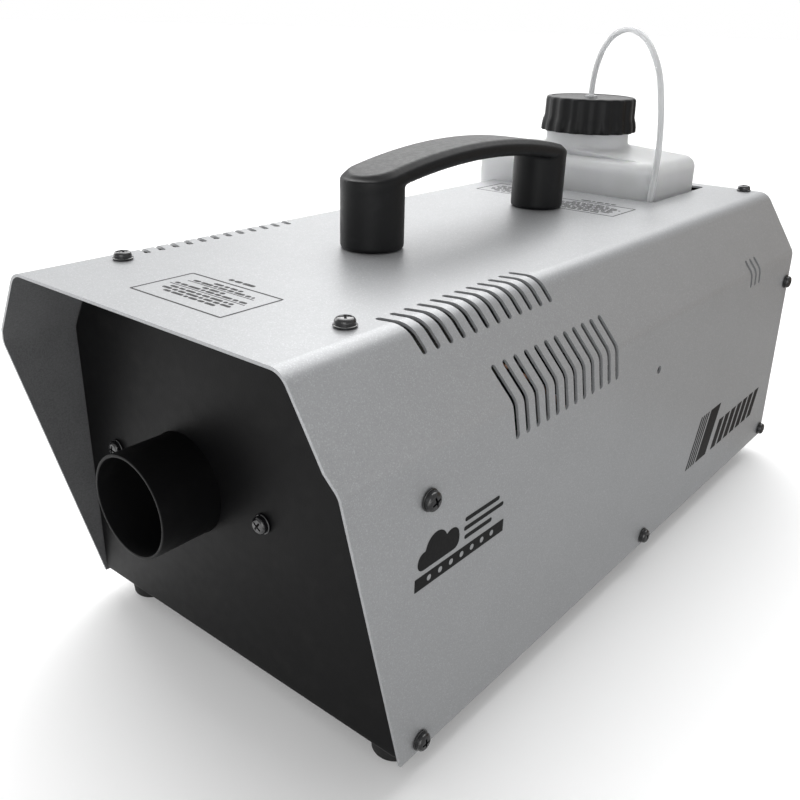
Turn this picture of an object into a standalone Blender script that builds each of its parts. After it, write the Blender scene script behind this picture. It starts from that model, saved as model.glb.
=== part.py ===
"""Fog machine with a bent steel cover, a lift-out fluid bottle and a heated nozzle.

Metres, +Z up. The nozzle blows towards -Y. The origin is on the surface that the feet
stand on, under the middle of the machine.
Distances along the machine are counted from the cover's front edge with aft(), and
heights from the cover's bottom edge with up(), both in millimetres.
"""
from math import atan, cos, pi, radians, sin, sqrt, tau

import bmesh
import bpy
from mathutils import Matrix, Vector

MM = 0.001
GAP = 0.3                     # clearance between pieces that touch, mm

# Overall
OVERALL_LENGTH = 427.0        # front edge of the cover to the end of the fuse cap
FOOT_HEIGHT = 12.0            # the cover's bottom edge is this far above the floor

# Cover, a sheet bent into five faces
SHEET = 1.2
HALF_TOP = 75.0
HALF_SIDE = 96.3
SHOULDER_Z = 129.0            # height of the bend between side and shoulder
TOP_Z = 163.2
TOP_BEND = 9.0
SHOULDER_BEND = 9.0
TOP_LENGTH = 412.0
REAR_SLOPE = 0.08             # the rear edge leans out by this much per mm of drop
HOOD_CORNER_Z = 136.0         # the front edge is upright above this, and slants back below
PANEL_Y = 33.6                # face of the front panel, where the slanted edge ends

# Fog outlet
NOZZLE_X = -22.6
NOZZLE_Z = 76.7
NOZZLE_R = 22.4
NOZZLE_WALL = 1.4
NOZZLE_TIP_Y = 6.0
NOZZLE_SCREW_X = 48.0

# Handle
HANDLE_X = -3.9
POST_Y = (128.6, 266.4)
POST_R = 14.2
GRIP_TOP = 204.4
GRIP_THICK = 8.2
GRIP_RADIUS = 360.0           # radius of the arch
GRIP_CHAMFER = 3.4

# Bottle and its cut-out
BOTTLE_X = (-89.6, 35.0)
BOTTLE_Y = (327.8, 399.6)
BOTTLE_CORNER = 12.0
BOTTLE_FLOOR = 63.0
BOTTLE_WALL_TOP = 175.5
BOTTLE_SHOULDER = 186.0
NECK_R = 25.6
NECK_TOP = 211.3
CUTOUT_X = (-92.4, 38.6)
CUTOUT_Y = (324.6, 401.6)
CUTOUT_Z = 137.0
CAP_X = -27.3
CAP_Y = 362.0
CAP_Z = (195.2, 215.5)
CAP_R = 27.6
CAP_SKIRT_R = 28.9
CAP_LOBES = 18
HOSE_D = 3.4

# Feet and screws
FOOT_X = 80.0
FOOT_Y = (50.0, 374.0)
SCREW_HEAD_R = 3.7
SCREW_R = 2.0
TOP_SCREW_X = 62.0
TOP_SCREW_Y = (40.6, 406.2)
SIDE_SCREWS = {"upper_front": (44.3, 110.2), "upper_rear": (409.6, 111.0), "lower_front": (44.6, 5.6),
               "lower_middle": (236.5, 5.6), "lower_rear": (418.4, 5.6)}
HOLE_SIDES = 12
BRACKET_HOLE = (225.6, 104.0)
BRACKET_HOLE_R = 2.1
HANDLE_HOLE_R = 2.8

# Vent slots, round-ended and slanted alike
SLOT_WIDTH = 2.8
SLOT_SLANT = radians(15.5)

# Rear fittings: x and height of each, on a panel that leans with the rear edge
REAR_FACE = TOP_LENGTH - 1.0          # the rear panel's face, at the height of the cover's top
TILT = atan(REAR_SLOPE)
INLET = (-46.0, 33.0)
FUSE = (-10.0, 33.0)
REMOTE = (22.0, 33.0)
SWITCH = (60.0, 33.0)
ROCKER_DEPTH = 4.0
ROCKER_TILT = radians(9)

# Inside: heater, board and pump
HEATER_Y = (60.0, 214.0)
HEATER_HALF = (33.0, 26.0)
JACKET_WALL = 9.0
BOARD = (-30.0, 302.0)
PUMP_X = 54.0
PUMP_Y = 180.0
PUMP_Z = 40.0

# Hose
HOSE_DOWN = (35.0, 327.9)     # where the hose goes down beside the bottle's rounded corner
GROMMET_TOP = BOTTLE_FLOOR - 0.3

# The hose from the cap to the grommet in the tray: x, y from the front edge, z, in mm.
HOSE_ROUTE = [
    (CAP_X, CAP_Y, 216.4), (CAP_X, CAP_Y, 220.0), (-26.6, 361.6, 227.0), (-24.6, 360.4, 234.6),
    (-20.4, 358.0, 243.0), (-12.6, 353.6, 250.6), (-0.8, 347.2, 254.6), (9.0, 341.8, 253.0),
    (17.7, 337.2, 248.0), (25.0, 333.2, 240.0), (29.8, 330.6, 231.6), (33.4, 328.4, 220.0),
    (35.9, 327.2, 206.0), (37.0, 326.6, 192.0), (36.7, 326.7, 178.0), (35.6, 327.4, 166.0),
    (35.0, 327.9, 152.0), (35.0, 327.9, 130.0), (35.0, 327.9, 104.0), (35.0, 327.9, 82.0),
    (35.0, 327.9, GROMMET_TOP + GAP),
]


def aft(y):
    """Y in metres of a place y mm behind the cover's front edge."""
    return (y - OVERALL_LENGTH / 2) * MM


def up(z):
    """Z in metres of a place z mm above the cover's bottom edge."""
    return (z + FOOT_HEIGHT) * MM


def at(x, y, z):
    return Vector((x * MM, aft(y), up(z)))


def rear_edge(z):
    """How far back the cover's rear edge is at height z, mm."""
    return TOP_LENGTH + REAR_SLOPE * (TOP_Z - z)


# --- scene and materials ---------------------------------------------------------------

def clear_scene():
    for found in list(bpy.data.objects):
        bpy.data.objects.remove(found, do_unlink=True)
    for found in list(bpy.data.collections):
        bpy.data.collections.remove(found)


def collection(name):
    made = bpy.data.collections.new(name)
    bpy.context.scene.collection.children.link(made)
    return made


clear_scene()
PARTS = collection("fog_machine")
CUTTERS = collection("fog_machine_cutters")


def material(name, colour, roughness, metallic=0.0, alpha=1.0):
    made = bpy.data.materials.new(name)
    made.use_nodes = True
    shader = made.node_tree.nodes["Principled BSDF"]
    shader.inputs["Base Color"].default_value = (*colour, 1.0)
    shader.inputs["Roughness"].default_value = roughness
    shader.inputs["Metallic"].default_value = metallic
    shader.inputs["Alpha"].default_value = alpha
    made.diffuse_color = (*colour, alpha)
    return made


POWDER_GREY = ((0.50, 0.52, 0.53), 0.45, 0.3)
SATIN_BLACK = ((0.03, 0.03, 0.03), 0.5, 0.0)
BLACK_PLASTIC = ((0.02, 0.02, 0.022), 0.4, 0.0)
BLACK_ZINC = ((0.03, 0.03, 0.032), 0.3, 0.8)
BARE_STEEL = ((0.55, 0.55, 0.56), 0.35, 1.0)
BARE_ALUMINIUM = ((0.72, 0.72, 0.73), 0.4, 1.0)
BRASS = ((0.75, 0.58, 0.28), 0.3, 1.0)
COPPER = ((0.80, 0.45, 0.30), 0.3, 1.0)
RUBBER = ((0.025, 0.025, 0.025), 0.8, 0.0)
BOTTLE_PLASTIC = ((0.86, 0.87, 0.90), 0.35, 0.0, 0.8)
CLEAR_PLASTIC = ((0.85, 0.87, 0.88), 0.15, 0.0, 0.5)
BOARD_GREEN = ((0.05, 0.25, 0.12), 0.5, 0.0)
IVORY_PLASTIC = ((0.75, 0.73, 0.66), 0.5, 0.0)


# --- modelling helpers -----------------------------------------------------------------

def show(name, mesh, finish, location=(0, 0, 0), rotation=(0, 0, 0)):
    """A part of the machine, with a material of its own."""
    made = bpy.data.objects.new(name, mesh)
    made.location = location
    made.rotation_euler = rotation
    mesh.materials.clear()
    mesh.materials.append(material(name + "_finish", *finish))
    PARTS.objects.link(made)
    return made


def cutter(name, mesh, location=(0, 0, 0), rotation=(0, 0, 0)):
    made = bpy.data.objects.new(name, mesh)
    made.location = location
    made.rotation_euler = rotation
    made.hide_render = True
    made.display_type = "WIRE"
    CUTTERS.objects.link(made)
    return made


def boolean(target, tool, operation="DIFFERENCE"):
    step = target.modifiers.new(tool.name, "BOOLEAN")
    step.operation = operation
    step.object = tool
    return target


def smooth(target, angle=40):
    target.data.shade_smooth()
    target.data.set_sharp_from_angle(angle=radians(angle))
    return target


def mesh_from(name, build):
    """A mesh made by a function that fills a bmesh."""
    made = bpy.data.meshes.new(name)
    shape = bmesh.new()
    build(shape)
    bmesh.ops.recalc_face_normals(shape, faces=shape.faces)
    shape.to_mesh(made)
    shape.free()
    return made


def block(name, size, centre=(0, 0, 0)):
    """A box mesh, size and centre in mm."""
    place = Matrix.Translation(Vector(centre) * MM) @ Matrix.Diagonal((*[s * MM for s in size], 1))
    return mesh_from(name, lambda shape: bmesh.ops.create_cube(shape, size=1, matrix=place))


TURN_TO = {"X": Matrix.Rotation(pi / 2, 4, "Y"), "Y": Matrix.Rotation(-pi / 2, 4, "X"),
           "Z": Matrix.Identity(4)}


def rod(name, radius, length, axis="Z", centre=(0, 0, 0), sides=24, end_radius=None):
    """A cylinder or cone mesh along an axis, in mm."""
    place = Matrix.Translation(Vector(centre) * MM) @ TURN_TO[axis]
    tip = radius if end_radius is None else end_radius
    return mesh_from(name, lambda shape: bmesh.ops.create_cone(
        shape, cap_ends=True, segments=sides, radius1=radius * MM, radius2=tip * MM,
        depth=length * MM, matrix=place))


def join(name, meshes):
    """Several closed meshes in one, for a cutter with many teeth."""
    def build(shape):
        for piece in meshes:
            shape.from_mesh(piece)
    return mesh_from(name, build)


def turned(name, profile, finish, location, rotation=(0, 0, 0), sides=24):
    """A turned piece: profile points are (radius, height) in mm, down the outer side."""
    mesh = bpy.data.meshes.new(name)
    shape = bmesh.new()
    points = [shape.verts.new((r * MM, 0, z * MM)) for r, z in profile]
    for first, second in zip(points, points[1:]):
        shape.edges.new((first, second))
    shape.to_mesh(mesh)
    shape.free()
    made = show(name, mesh, finish, location, rotation)
    spin = made.modifiers.new("spin", "SCREW")
    spin.steps = sides
    spin.render_steps = sides
    spin.use_merge_vertices = True
    spin.merge_threshold = 0.00001
    spin.use_smooth_shade = False
    return made


def outline_mesh(name, outline, thickness, plane="XZ"):
    """A flat plate with the given outline in mm, centred on its own plane."""
    flat = bpy.data.curves.new(name, "CURVE")
    flat.dimensions = "2D"
    flat.fill_mode = "BOTH"
    flat.extrude = thickness * MM / 2
    line = flat.splines.new("POLY")
    line.points.add(len(outline) - 1)
    for point, (u, v) in zip(line.points, outline):
        point.co = (u * MM, v * MM, 0, 1)
    line.use_cyclic_u = True
    holder = bpy.data.objects.new(name, flat)
    bpy.context.scene.collection.objects.link(holder)
    seen = holder.evaluated_get(bpy.context.evaluated_depsgraph_get())
    mesh = bpy.data.meshes.new_from_object(seen)
    bpy.data.objects.remove(holder)
    turn = {"XZ": Matrix.Rotation(pi / 2, 4, "X"),
            "YZ": Matrix(((0, 0, 1, 0), (1, 0, 0, 0), (0, 1, 0, 0), (0, 0, 0, 1))),
            "ZY": Matrix(((0, 0, -1, 0), (0, 1, 0, 0), (1, 0, 0, 0), (0, 0, 0, 1))),
            "XY": Matrix.Identity(4)}[plane]

    def build(shape):
        shape.from_mesh(mesh)
        bmesh.ops.remove_doubles(shape, verts=shape.verts, dist=0.00001)
        shape.transform(turn)
    return mesh_from(name, build)


def rounded(points, radii, segments, closed=False):
    """A polyline in mm with its corners turned into arcs."""
    count = len(points)
    line = []
    for index, (corner, radius) in enumerate(zip(points, radii)):
        corner = Vector(corner)
        if radius == 0 or (not closed and index in (0, count - 1)):
            line.append(tuple(corner))
            continue
        before = (Vector(points[index - 1]) - corner).normalized()
        after = (Vector(points[(index + 1) % count]) - corner).normalized()
        half = before.angle(after) / 2
        middle = corner + (before + after).normalized() * (radius / sin(half))
        start = corner + before * (radius * cos(half) / sin(half)) - middle
        end = corner + after * (radius * cos(half) / sin(half)) - middle
        sweep = start.angle(end)
        for step in range(segments + 1):
            share = step / segments
            blend = (start * sin((1 - share) * sweep) + end * sin(share * sweep)) / sin(sweep)
            line.append(tuple(middle + blend))
    return line


def cover_section(inset, bottom, segments=4, closed=False):
    """The cover's cross-section, moved in by inset mm, from one bottom edge to the other."""
    slope = (HALF_SIDE - HALF_TOP) / (TOP_Z - SHOULDER_Z)
    sideways = inset / cos(atan(slope))      # how far the slanted face shifts sideways
    side = HALF_SIDE - inset
    shoulder = SHOULDER_Z - (sideways - inset) / slope
    top = TOP_Z - inset
    half_top = HALF_TOP - sideways + slope * inset
    points = [(-side, bottom), (-side, shoulder), (-half_top, top),
              (half_top, top), (side, shoulder), (side, bottom)]
    radii = [0, SHOULDER_BEND - inset, TOP_BEND - inset, TOP_BEND - inset, SHOULDER_BEND - inset, 0]
    return rounded(points, radii, segments, closed)


def slot_bar(name, centre, run, length, width, depth, outward):
    """A round-ended bar for a slot: run is the slot's direction, outward the bar's axis."""
    outward = Vector(outward).normalized()
    run = Vector(run).normalized()
    across = outward.cross(run)
    turn = Matrix((run, across, outward)).transposed().to_4x4()

    def build(shape):
        bmesh.ops.create_cone(shape, cap_ends=True, segments=8, radius1=width * MM / 2,
                              radius2=width * MM / 2, depth=depth * MM,
                              matrix=Matrix.Rotation(pi / 8, 4, "Z"))
        for vert in shape.verts:
            vert.co.x += (1 if vert.co.x > 0 else -1) * (length - width) * MM / 2
        shape.transform(Matrix.Translation(centre) @ turn)
    return mesh_from(name, build)


# --- shared cutters --------------------------------------------------------------------

def bend_slots():
    """Slots over both top bends and both shoulder bends, all slanted alike."""
    both, right = (-1, 1), (1,)     # the cut-out for the bottle takes the place of the left rear slots
    rows = [  # sides, first slot's y, count, pitch, middle x, middle z, slot length, tilt of the bend
        (both, 56.9, 12, 7.4, 71.8, 158.2, 21.0, radians(61)),
        (both, 94.2, 12, 7.3, 93.2, 127.4, 32.0, radians(16)),
        (right, 341.2, 3, 6.7, 93.0, 129.9, 17.0, radians(16)),
    ]
    bars = []
    for sides, first, count, pitch, x, z, length, tilt in rows:
        for side in sides:
            outward = Vector((side * cos(tilt), 0, sin(tilt)))
            downhill = Vector((side * sin(tilt), 0, -cos(tilt)))
            run = downhill * cos(SLOT_SLANT) + Vector((0, sin(SLOT_SLANT), 0))
            for index in range(count):
                middle = at(side * x, first + index * pitch, z)
                bars.append(slot_bar("slot", middle, run, length, SLOT_WIDTH, 16, outward))
    return cutter("vent_slots", join("vent_slots", bars))


def screw_holes():
    """Holes for every screw that goes through the cover into a panel or the tray."""
    drills = []
    for side in (-1, 1):
        for y in TOP_SCREW_Y:
            drills.append(rod("drill", SCREW_R + GAP, 12, "Z", sides=HOLE_SIDES))
            drills[-1].transform(Matrix.Translation(at(side * TOP_SCREW_X, y, TOP_Z)))
        for y, z in SIDE_SCREWS.values():
            drills.append(rod("drill", SCREW_R + GAP, 12, "X", sides=HOLE_SIDES))
            drills[-1].transform(Matrix.Translation(at(side * HALF_SIDE, y, z)))
        drills.append(rod("drill", BRACKET_HOLE_R, 12, "X", sides=HOLE_SIDES))
        drills[-1].transform(Matrix.Translation(at(side * HALF_SIDE, *BRACKET_HOLE)))
    for y in POST_Y:
        drills.append(rod("drill", HANDLE_HOLE_R, 12, "Z", sides=HOLE_SIDES))
        drills[-1].transform(Matrix.Translation(at(HANDLE_X, y, TOP_Z)))
    return cutter("screw_holes", join("screw_holes", drills))


VENT_SLOTS = bend_slots()
SCREW_HOLES = screw_holes()


# --- sheet metal -----------------------------------------------------------------------

def shear_rear(shape, start):
    """Lean everything behind start (mm) along with the rear edge."""
    for vert in shape.verts:
        if vert.co.y > aft(start):
            vert.co.y += REAR_SLOPE * (up(TOP_Z) - vert.co.z)


def cover():
    line = cover_section(0, 0)
    mesh = bpy.data.meshes.new("cover")
    shape = bmesh.new()
    front = [shape.verts.new(at(x, 0, z)) for x, z in line]
    rear = [shape.verts.new(at(x, TOP_LENGTH, z)) for x, z in line]
    for i in range(len(line) - 1):
        shape.faces.new((front[i], front[i + 1], rear[i + 1], rear[i]))
    bmesh.ops.recalc_face_normals(shape, faces=shape.faces)
    shear_rear(shape, 200)
    shape.to_mesh(mesh)
    shape.free()
    made = show("cover", mesh, POWDER_GREY)
    thick = made.modifiers.new("sheet", "SOLIDIFY")
    thick.thickness = SHEET * MM
    thick.offset = -1
    thick.use_even_offset = True

    mouth = outline_mesh("hood_trim", [(-40, TOP_Z + 30), (-0.01, TOP_Z + 30), (-0.01, HOOD_CORNER_Z),
                                       (PANEL_Y, 0), (PANEL_Y + 5, -20), (-40, -20)], 240, "YZ")
    boolean(made, cutter("hood_trim", mouth, at(0, 0, 0)))
    hole = block("bottle_cutout", (CUTOUT_X[1] - CUTOUT_X[0], CUTOUT_Y[1] - CUTOUT_Y[0], 60),
                 (sum(CUTOUT_X) / 2, sum(CUTOUT_Y) / 2, CUTOUT_Z + 30))
    boolean(made, cutter("bottle_cutout", hole, at(0, 0, 0)))
    boolean(made, VENT_SLOTS)
    boolean(made, SCREW_HOLES)
    return made


def base_tray():
    """The floor, with upturned sides that the cover is screwed to."""
    half = HALF_SIDE - SHEET - GAP
    line = [(-half, 14), (-half, 0.1), (half, 0.1), (half, 14)]
    line = rounded(line, [0, 2.5, 2.5, 0], 2)
    start, end = PANEL_Y + 3.6, 420.5
    mesh = bpy.data.meshes.new("base_tray")
    shape = bmesh.new()
    front = [shape.verts.new(at(x, start, z)) for x, z in line]
    rear = [shape.verts.new(at(x, end, z)) for x, z in line]
    for i in range(len(line) - 1):
        shape.faces.new((front[i], rear[i], rear[i + 1], front[i + 1]))
    shape.to_mesh(mesh)
    shape.free()
    made = show("base_tray", mesh, SATIN_BLACK)
    thick = made.modifiers.new("sheet", "SOLIDIFY")
    thick.thickness = SHEET * MM
    thick.offset = -1
    thick.use_even_offset = True
    boolean(made, SCREW_HOLES)
    drills = join("foot_drills", [rod("drill", 2.3, 12, "Z", (side * FOOT_X, y, 0), 12)
                                  for side in (-1, 1) for y in FOOT_Y])
    boolean(made, cutter("foot_drills", drills, at(0, 0, 0)))
    # Notches in the side flanges leave room for the rims of the front and rear panels.
    notches = join("tray_notches", [block("notch", (240, 40, 20), (0, y, 11.6)) for y in (28.0, 421.6)])
    boolean(made, cutter("tray_notches", notches, at(0, 0, 0)))
    vents = join("floor_vents", [slot_bar("vent", Vector((x, y, 0)) * MM, (1, 0, 0), 34, 3, 12, (0, 0, 1))
                                 for x in (-45, 45) for y in range(110, 190, 16)])
    boolean(made, cutter("floor_vents", vents, at(0, 0, 0)))
    return made


def pan(name, depth, start, finish, lean=False, bottom=1.8):
    """A panel whose rim is turned over all round: a shallow pan, open at the far side."""
    outer = cover_section(SHEET + GAP, bottom, 4)
    inner = cover_section(2 * SHEET + GAP, bottom + SHEET, 4)
    sign = 1 if depth > 0 else -1
    outer_mesh = outline_mesh(name, outer, abs(depth), "XZ")
    outer_mesh.transform(Matrix.Translation(at(0, start + depth / 2, 0)))
    inner_mesh = outline_mesh(name + "_hollow", inner, abs(depth), "XZ")
    inner_mesh.transform(Matrix.Translation(at(0, start + depth / 2 + sign * SHEET, 0)))
    if lean:
        for mesh in (outer_mesh, inner_mesh):
            for vert in mesh.vertices:
                vert.co.y += REAR_SLOPE * (up(TOP_Z) - vert.co.z)
    made = show(name, outer_mesh, finish)
    boolean(made, cutter(name + "_hollow", inner_mesh))
    boolean(made, SCREW_HOLES)
    return made


def front_panel():
    made = pan("front_panel", 14.0, PANEL_Y, SATIN_BLACK)
    drills = [rod("outlet", NOZZLE_R + GAP, 12, "Y", (NOZZLE_X, PANEL_Y, NOZZLE_Z), 48)]
    for side in (-1, 1):
        x = NOZZLE_X + side * NOZZLE_SCREW_X
        drills.append(rod("drill", SCREW_R + GAP, 12, "Y", (x, PANEL_Y, NOZZLE_Z), 12))
    boolean(made, cutter("front_panel_holes", join("front_panel_holes", drills), at(0, 0, 0)))
    return made


def on_rear(x, z):
    """A place on the rear panel's outer face."""
    return at(x, REAR_FACE + REAR_SLOPE * (TOP_Z - z), z)


def rear_panel():
    made = pan("rear_panel", -8.3, REAR_FACE, SATIN_BLACK, lean=True)
    openings = [
        (block("hole", (28.0, 12, 20.6)), INLET),
        (rod("hole", 6.4, 12, "Y", sides=24), FUSE),
        (rod("hole", 8.3, 12, "Y", sides=24), REMOTE),
        (block("hole", (13.4, 12, 19.6)), SWITCH),
    ]
    for mesh, (x, z) in openings:
        mesh.transform(Matrix.Translation(on_rear(x, z)) @ Matrix.Rotation(TILT, 4, "X"))
    boolean(made, cutter("rear_panel_holes", join("rear_panel_holes", [m for m, _ in openings])))
    return made


def tank_well():
    """The tray that the bottle stands in, hung under the cut-out."""
    x0, x1 = CUTOUT_X[0] - 1.2, CUTOUT_X[1] + 4.0
    y0, y1 = CUTOUT_Y[0] - 4.0, CUTOUT_Y[1] + 0.6
    floor = BOTTLE_FLOOR - 2.2
    size = (x1 - x0, y1 - y0, TOP_Z - floor)
    middle = ((x0 + x1) / 2, (y0 + y1) / 2, (floor + TOP_Z) / 2)
    made = show("tank_well", block("tank_well", size, middle), BARE_STEEL, at(0, 0, 0))
    hollow = block("well_hollow", (size[0] - 2, size[1] - 2, size[2]),
                   (middle[0], middle[1], middle[2] + 1))
    boolean(made, cutter("well_hollow", hollow, at(0, 0, 0)))
    # Its walls end just under the cover, which slants in on the left.
    under = outline_mesh("under_cover", cover_section(2 * SHEET + 2 * GAP, 20, 3), 200, "XZ")
    boolean(made, cutter("under_cover", under, at(0, middle[1], 0)), "INTERSECT")
    drill = rod("well_drill", 3.9, 12, "Z", (HOSE_DOWN[0], HOSE_DOWN[1], floor), 16)
    boolean(made, cutter("well_drill", drill, at(0, 0, 0)))
    return made


# --- fluid path ------------------------------------------------------------------------

def smooth_route(points, step):
    """Points about step mm apart on a smooth curve through the route's points."""
    points = [Vector(p) for p in points]
    ends = [points[0] * 2 - points[1]] + points + [points[-1] * 2 - points[-2]]
    line = []
    for a, b, c, d in zip(ends, ends[1:], ends[2:], ends[3:]):
        times = [0.0]
        for first, second in ((a, b), (b, c), (c, d)):
            times.append(times[-1] + sqrt(max((second - first).length, 0.001)))
        count = max(1, round((c - b).length / step))
        for index in range(count):
            t = times[1] + (times[2] - times[1]) * index / count
            pair = [p + (q - p) * ((t - t0) / (t1 - t0)) for p, q, t0, t1 in
                    ((a, b, times[0], times[1]), (b, c, times[1], times[2]), (c, d, times[2], times[3]))]
            near = pair[0] + (pair[1] - pair[0]) * ((t - times[0]) / (times[2] - times[0]))
            far = pair[1] + (pair[2] - pair[1]) * ((t - times[1]) / (times[3] - times[1]))
            line.append(near + (far - near) * ((t - times[1]) / (times[2] - times[1])))
    line.append(points[-1])
    return line


def pipe(name, route, diameter, finish, step):
    """A tube along a route, as a bevelled curve."""
    line = bpy.data.curves.new(name, "CURVE")
    line.dimensions = "3D"
    line.bevel_depth = diameter * MM / 2
    line.bevel_resolution = 2
    line.use_fill_caps = True
    spline = line.splines.new("POLY")
    points = [at(*p) for p in smooth_route(route, step)]
    spline.points.add(len(points) - 1)
    for point, place in zip(spline.points, points):
        point.co = (*place, 1)
    made = bpy.data.objects.new(name, line)
    line.materials.append(material(name + "_finish", *finish))
    PARTS.objects.link(made)
    return made


def bottle_ring(half_x, half_y, radius, z, middle_y):
    """32 points round a rounded rectangle; a circle where radius equals both halves."""
    ring = []
    for turn, (sx, sy) in enumerate(((1, 1), (-1, 1), (-1, -1), (1, -1))):
        for step in range(8):
            angle = turn * pi / 2 + (step + 0.5) * pi / 16
            x = sx * (half_x - radius) + radius * cos(angle)
            y = sy * (half_y - radius) + radius * sin(angle)
            ring.append(Vector((x, y + middle_y, z)) * MM)
    return ring


def loft(name, rings):
    def build(shape):
        loops = [[shape.verts.new(p) for p in ring] for ring in rings]
        for low, high in zip(loops, loops[1:]):
            for i in range(len(low)):
                j = (i + 1) % len(low)
                shape.faces.new((low[i], low[j], high[j], high[i]))
        shape.faces.new(list(reversed(loops[0])))
        shape.faces.new(loops[-1])
    return mesh_from(name, build)


def bottle_form(name, wall, neck_end):
    """The bottle's outside, or its inside when wall is more than 0."""
    half_x = (BOTTLE_X[1] - BOTTLE_X[0]) / 2 - wall
    half_y = (BOTTLE_Y[1] - BOTTLE_Y[0]) / 2 - wall
    corner = BOTTLE_CORNER - wall
    neck_y = CAP_Y - sum(BOTTLE_Y) / 2
    rings = []
    for step in range(3):
        angle = step * pi / 4
        inset = 4 * (1 - sin(angle))
        rings.append(bottle_ring(half_x - inset, half_y - inset, corner - inset,
                                 BOTTLE_FLOOR + wall + 4 * (1 - cos(angle)), 0))
    for step in range(5):
        angle = step * pi / 10
        inset = 7.5 * (1 - cos(angle))
        rings.append(bottle_ring(half_x - inset, half_y - inset, max(corner - inset, 4),
                                 BOTTLE_WALL_TOP - wall + 7.5 * sin(angle), 0))
    neck = NECK_R - wall
    rings.append(bottle_ring(neck + 3, neck + 2, neck + 2, BOTTLE_SHOULDER - 0.6 - wall, neck_y * 0.8))
    rings.append(bottle_ring(neck, neck, neck, BOTTLE_SHOULDER + 1.6 - wall, neck_y))
    rings.append(bottle_ring(neck, neck, neck, neck_end, neck_y))
    return loft(name, rings)


def bottle():
    place = at(sum(BOTTLE_X) / 2, sum(BOTTLE_Y) / 2, 0)
    made = show("bottle", bottle_form("bottle", 0, NECK_TOP), BOTTLE_PLASTIC, place)
    boolean(made, cutter("bottle_inside", bottle_form("bottle_inside", 1.5, NECK_TOP + 5), place))
    return smooth(made)


def bottle_cap():
    rings = []
    for z, radius, ripple in ((CAP_Z[0], CAP_SKIRT_R, 0.7), (CAP_Z[0] + 6, CAP_SKIRT_R - 0.5, 0.7),
                              (CAP_Z[0] + 9, CAP_R, 0.4), (CAP_Z[1] - 1.2, CAP_R - 0.3, 0.4),
                              (CAP_Z[1], CAP_R - 1.5, 0.2)):
        count = CAP_LOBES * 4
        rings.append([Vector(((radius + ripple * cos(CAP_LOBES * tau * i / count)) * cos(tau * i / count),
                              (radius + ripple * cos(CAP_LOBES * tau * i / count)) * sin(tau * i / count),
                              z - CAP_Z[0])) * MM for i in range(count)])
    made = show("bottle_cap", loft("bottle_cap", rings), BLACK_PLASTIC, at(CAP_X, CAP_Y, CAP_Z[0]))
    depth = CAP_Z[1] - CAP_Z[0] - 2
    bore = rod("bore", NECK_R + 0.8, depth + 10, "Z", (0, 0, depth / 2 - 5), 40)
    boolean(made, cutter("cap_bore", bore, made.location))
    boolean(made, cutter("cap_eye", rod("cap_eye", 4.0, 30, "Z", (0, 0, 12), 16), made.location))
    return smooth(made)


def fluid_parts():
    bottle()
    bottle_cap()
    top = CAP_Z[1] + 0.6
    disc_top = -(top - NECK_TOP - 2.2)
    disc_low = -(top - NECK_TOP - GAP)
    turned("cap_gland", [(1.0, 0), (3.7, 0), (3.7, disc_top), (NECK_R - 1.2, disc_top),
                         (NECK_R - 1.2, disc_low), (1.0, disc_low), (1.0, 0)],
           CLEAR_PLASTIC, at(CAP_X, CAP_Y, top))
    pipe("fluid_tube", HOSE_ROUTE, HOSE_D, CLEAR_PLASTIC, 8)
    low = BOTTLE_FLOOR + 26
    pipe("dip_tube", [(CAP_X, CAP_Y, NECK_TOP), (CAP_X, CAP_Y, 150), (CAP_X, CAP_Y, low)],
         HOSE_D, CLEAR_PLASTIC, 60)
    turned("pickup_filter", [(0, 20), (3.2, 20), (5.2, 17), (5.2, 1.5), (4, 0), (0, 0)], BRASS,
           at(CAP_X, CAP_Y, low - 20 - GAP), sides=16)
    turned("hose_grommet", [(2.0, 0), (5.0, 0), (5.6, -0.4), (5.6, -0.8), (3.6, -0.8), (3.6, -2.0),
                            (5.2, -2.0), (5.2, -3.6), (2.0, -3.6), (2.0, 0)],
           RUBBER, at(*HOSE_DOWN, GROMMET_TOP), sides=16)
    pipe("suction_hose", [(*HOSE_DOWN, 57.2), (*HOSE_DOWN, 53), (38, 324, 46), (50, 312, 36), (72, 292, 30),
                          (84, 262, 30), (85, 220, 30), (84, 160, 31), (78, 128, 34), (66, 116, 38),
                          (56, 117, 40), (PUMP_X, 124, PUMP_Z), (PUMP_X, 129.6, PUMP_Z)],
         HOSE_D, CLEAR_PLASTIC, 9)


# --- handle, feet and screws -----------------------------------------------------------

def grip_height(y, crown):
    """Height of the arch at y mm, for a crown height at mid span."""
    middle = sum(POST_Y) / 2
    return crown - GRIP_RADIUS + sqrt(GRIP_RADIUS ** 2 - (y - middle) ** 2)


def grip_half_width(y, inset):
    """Half width of the grip's round-ended plan, drawn in by inset mm."""
    past = max(POST_Y[0] - y, y - POST_Y[1], 0)
    reach = POST_R - inset
    return sqrt(max(reach ** 2 - past ** 2, 0))


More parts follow.
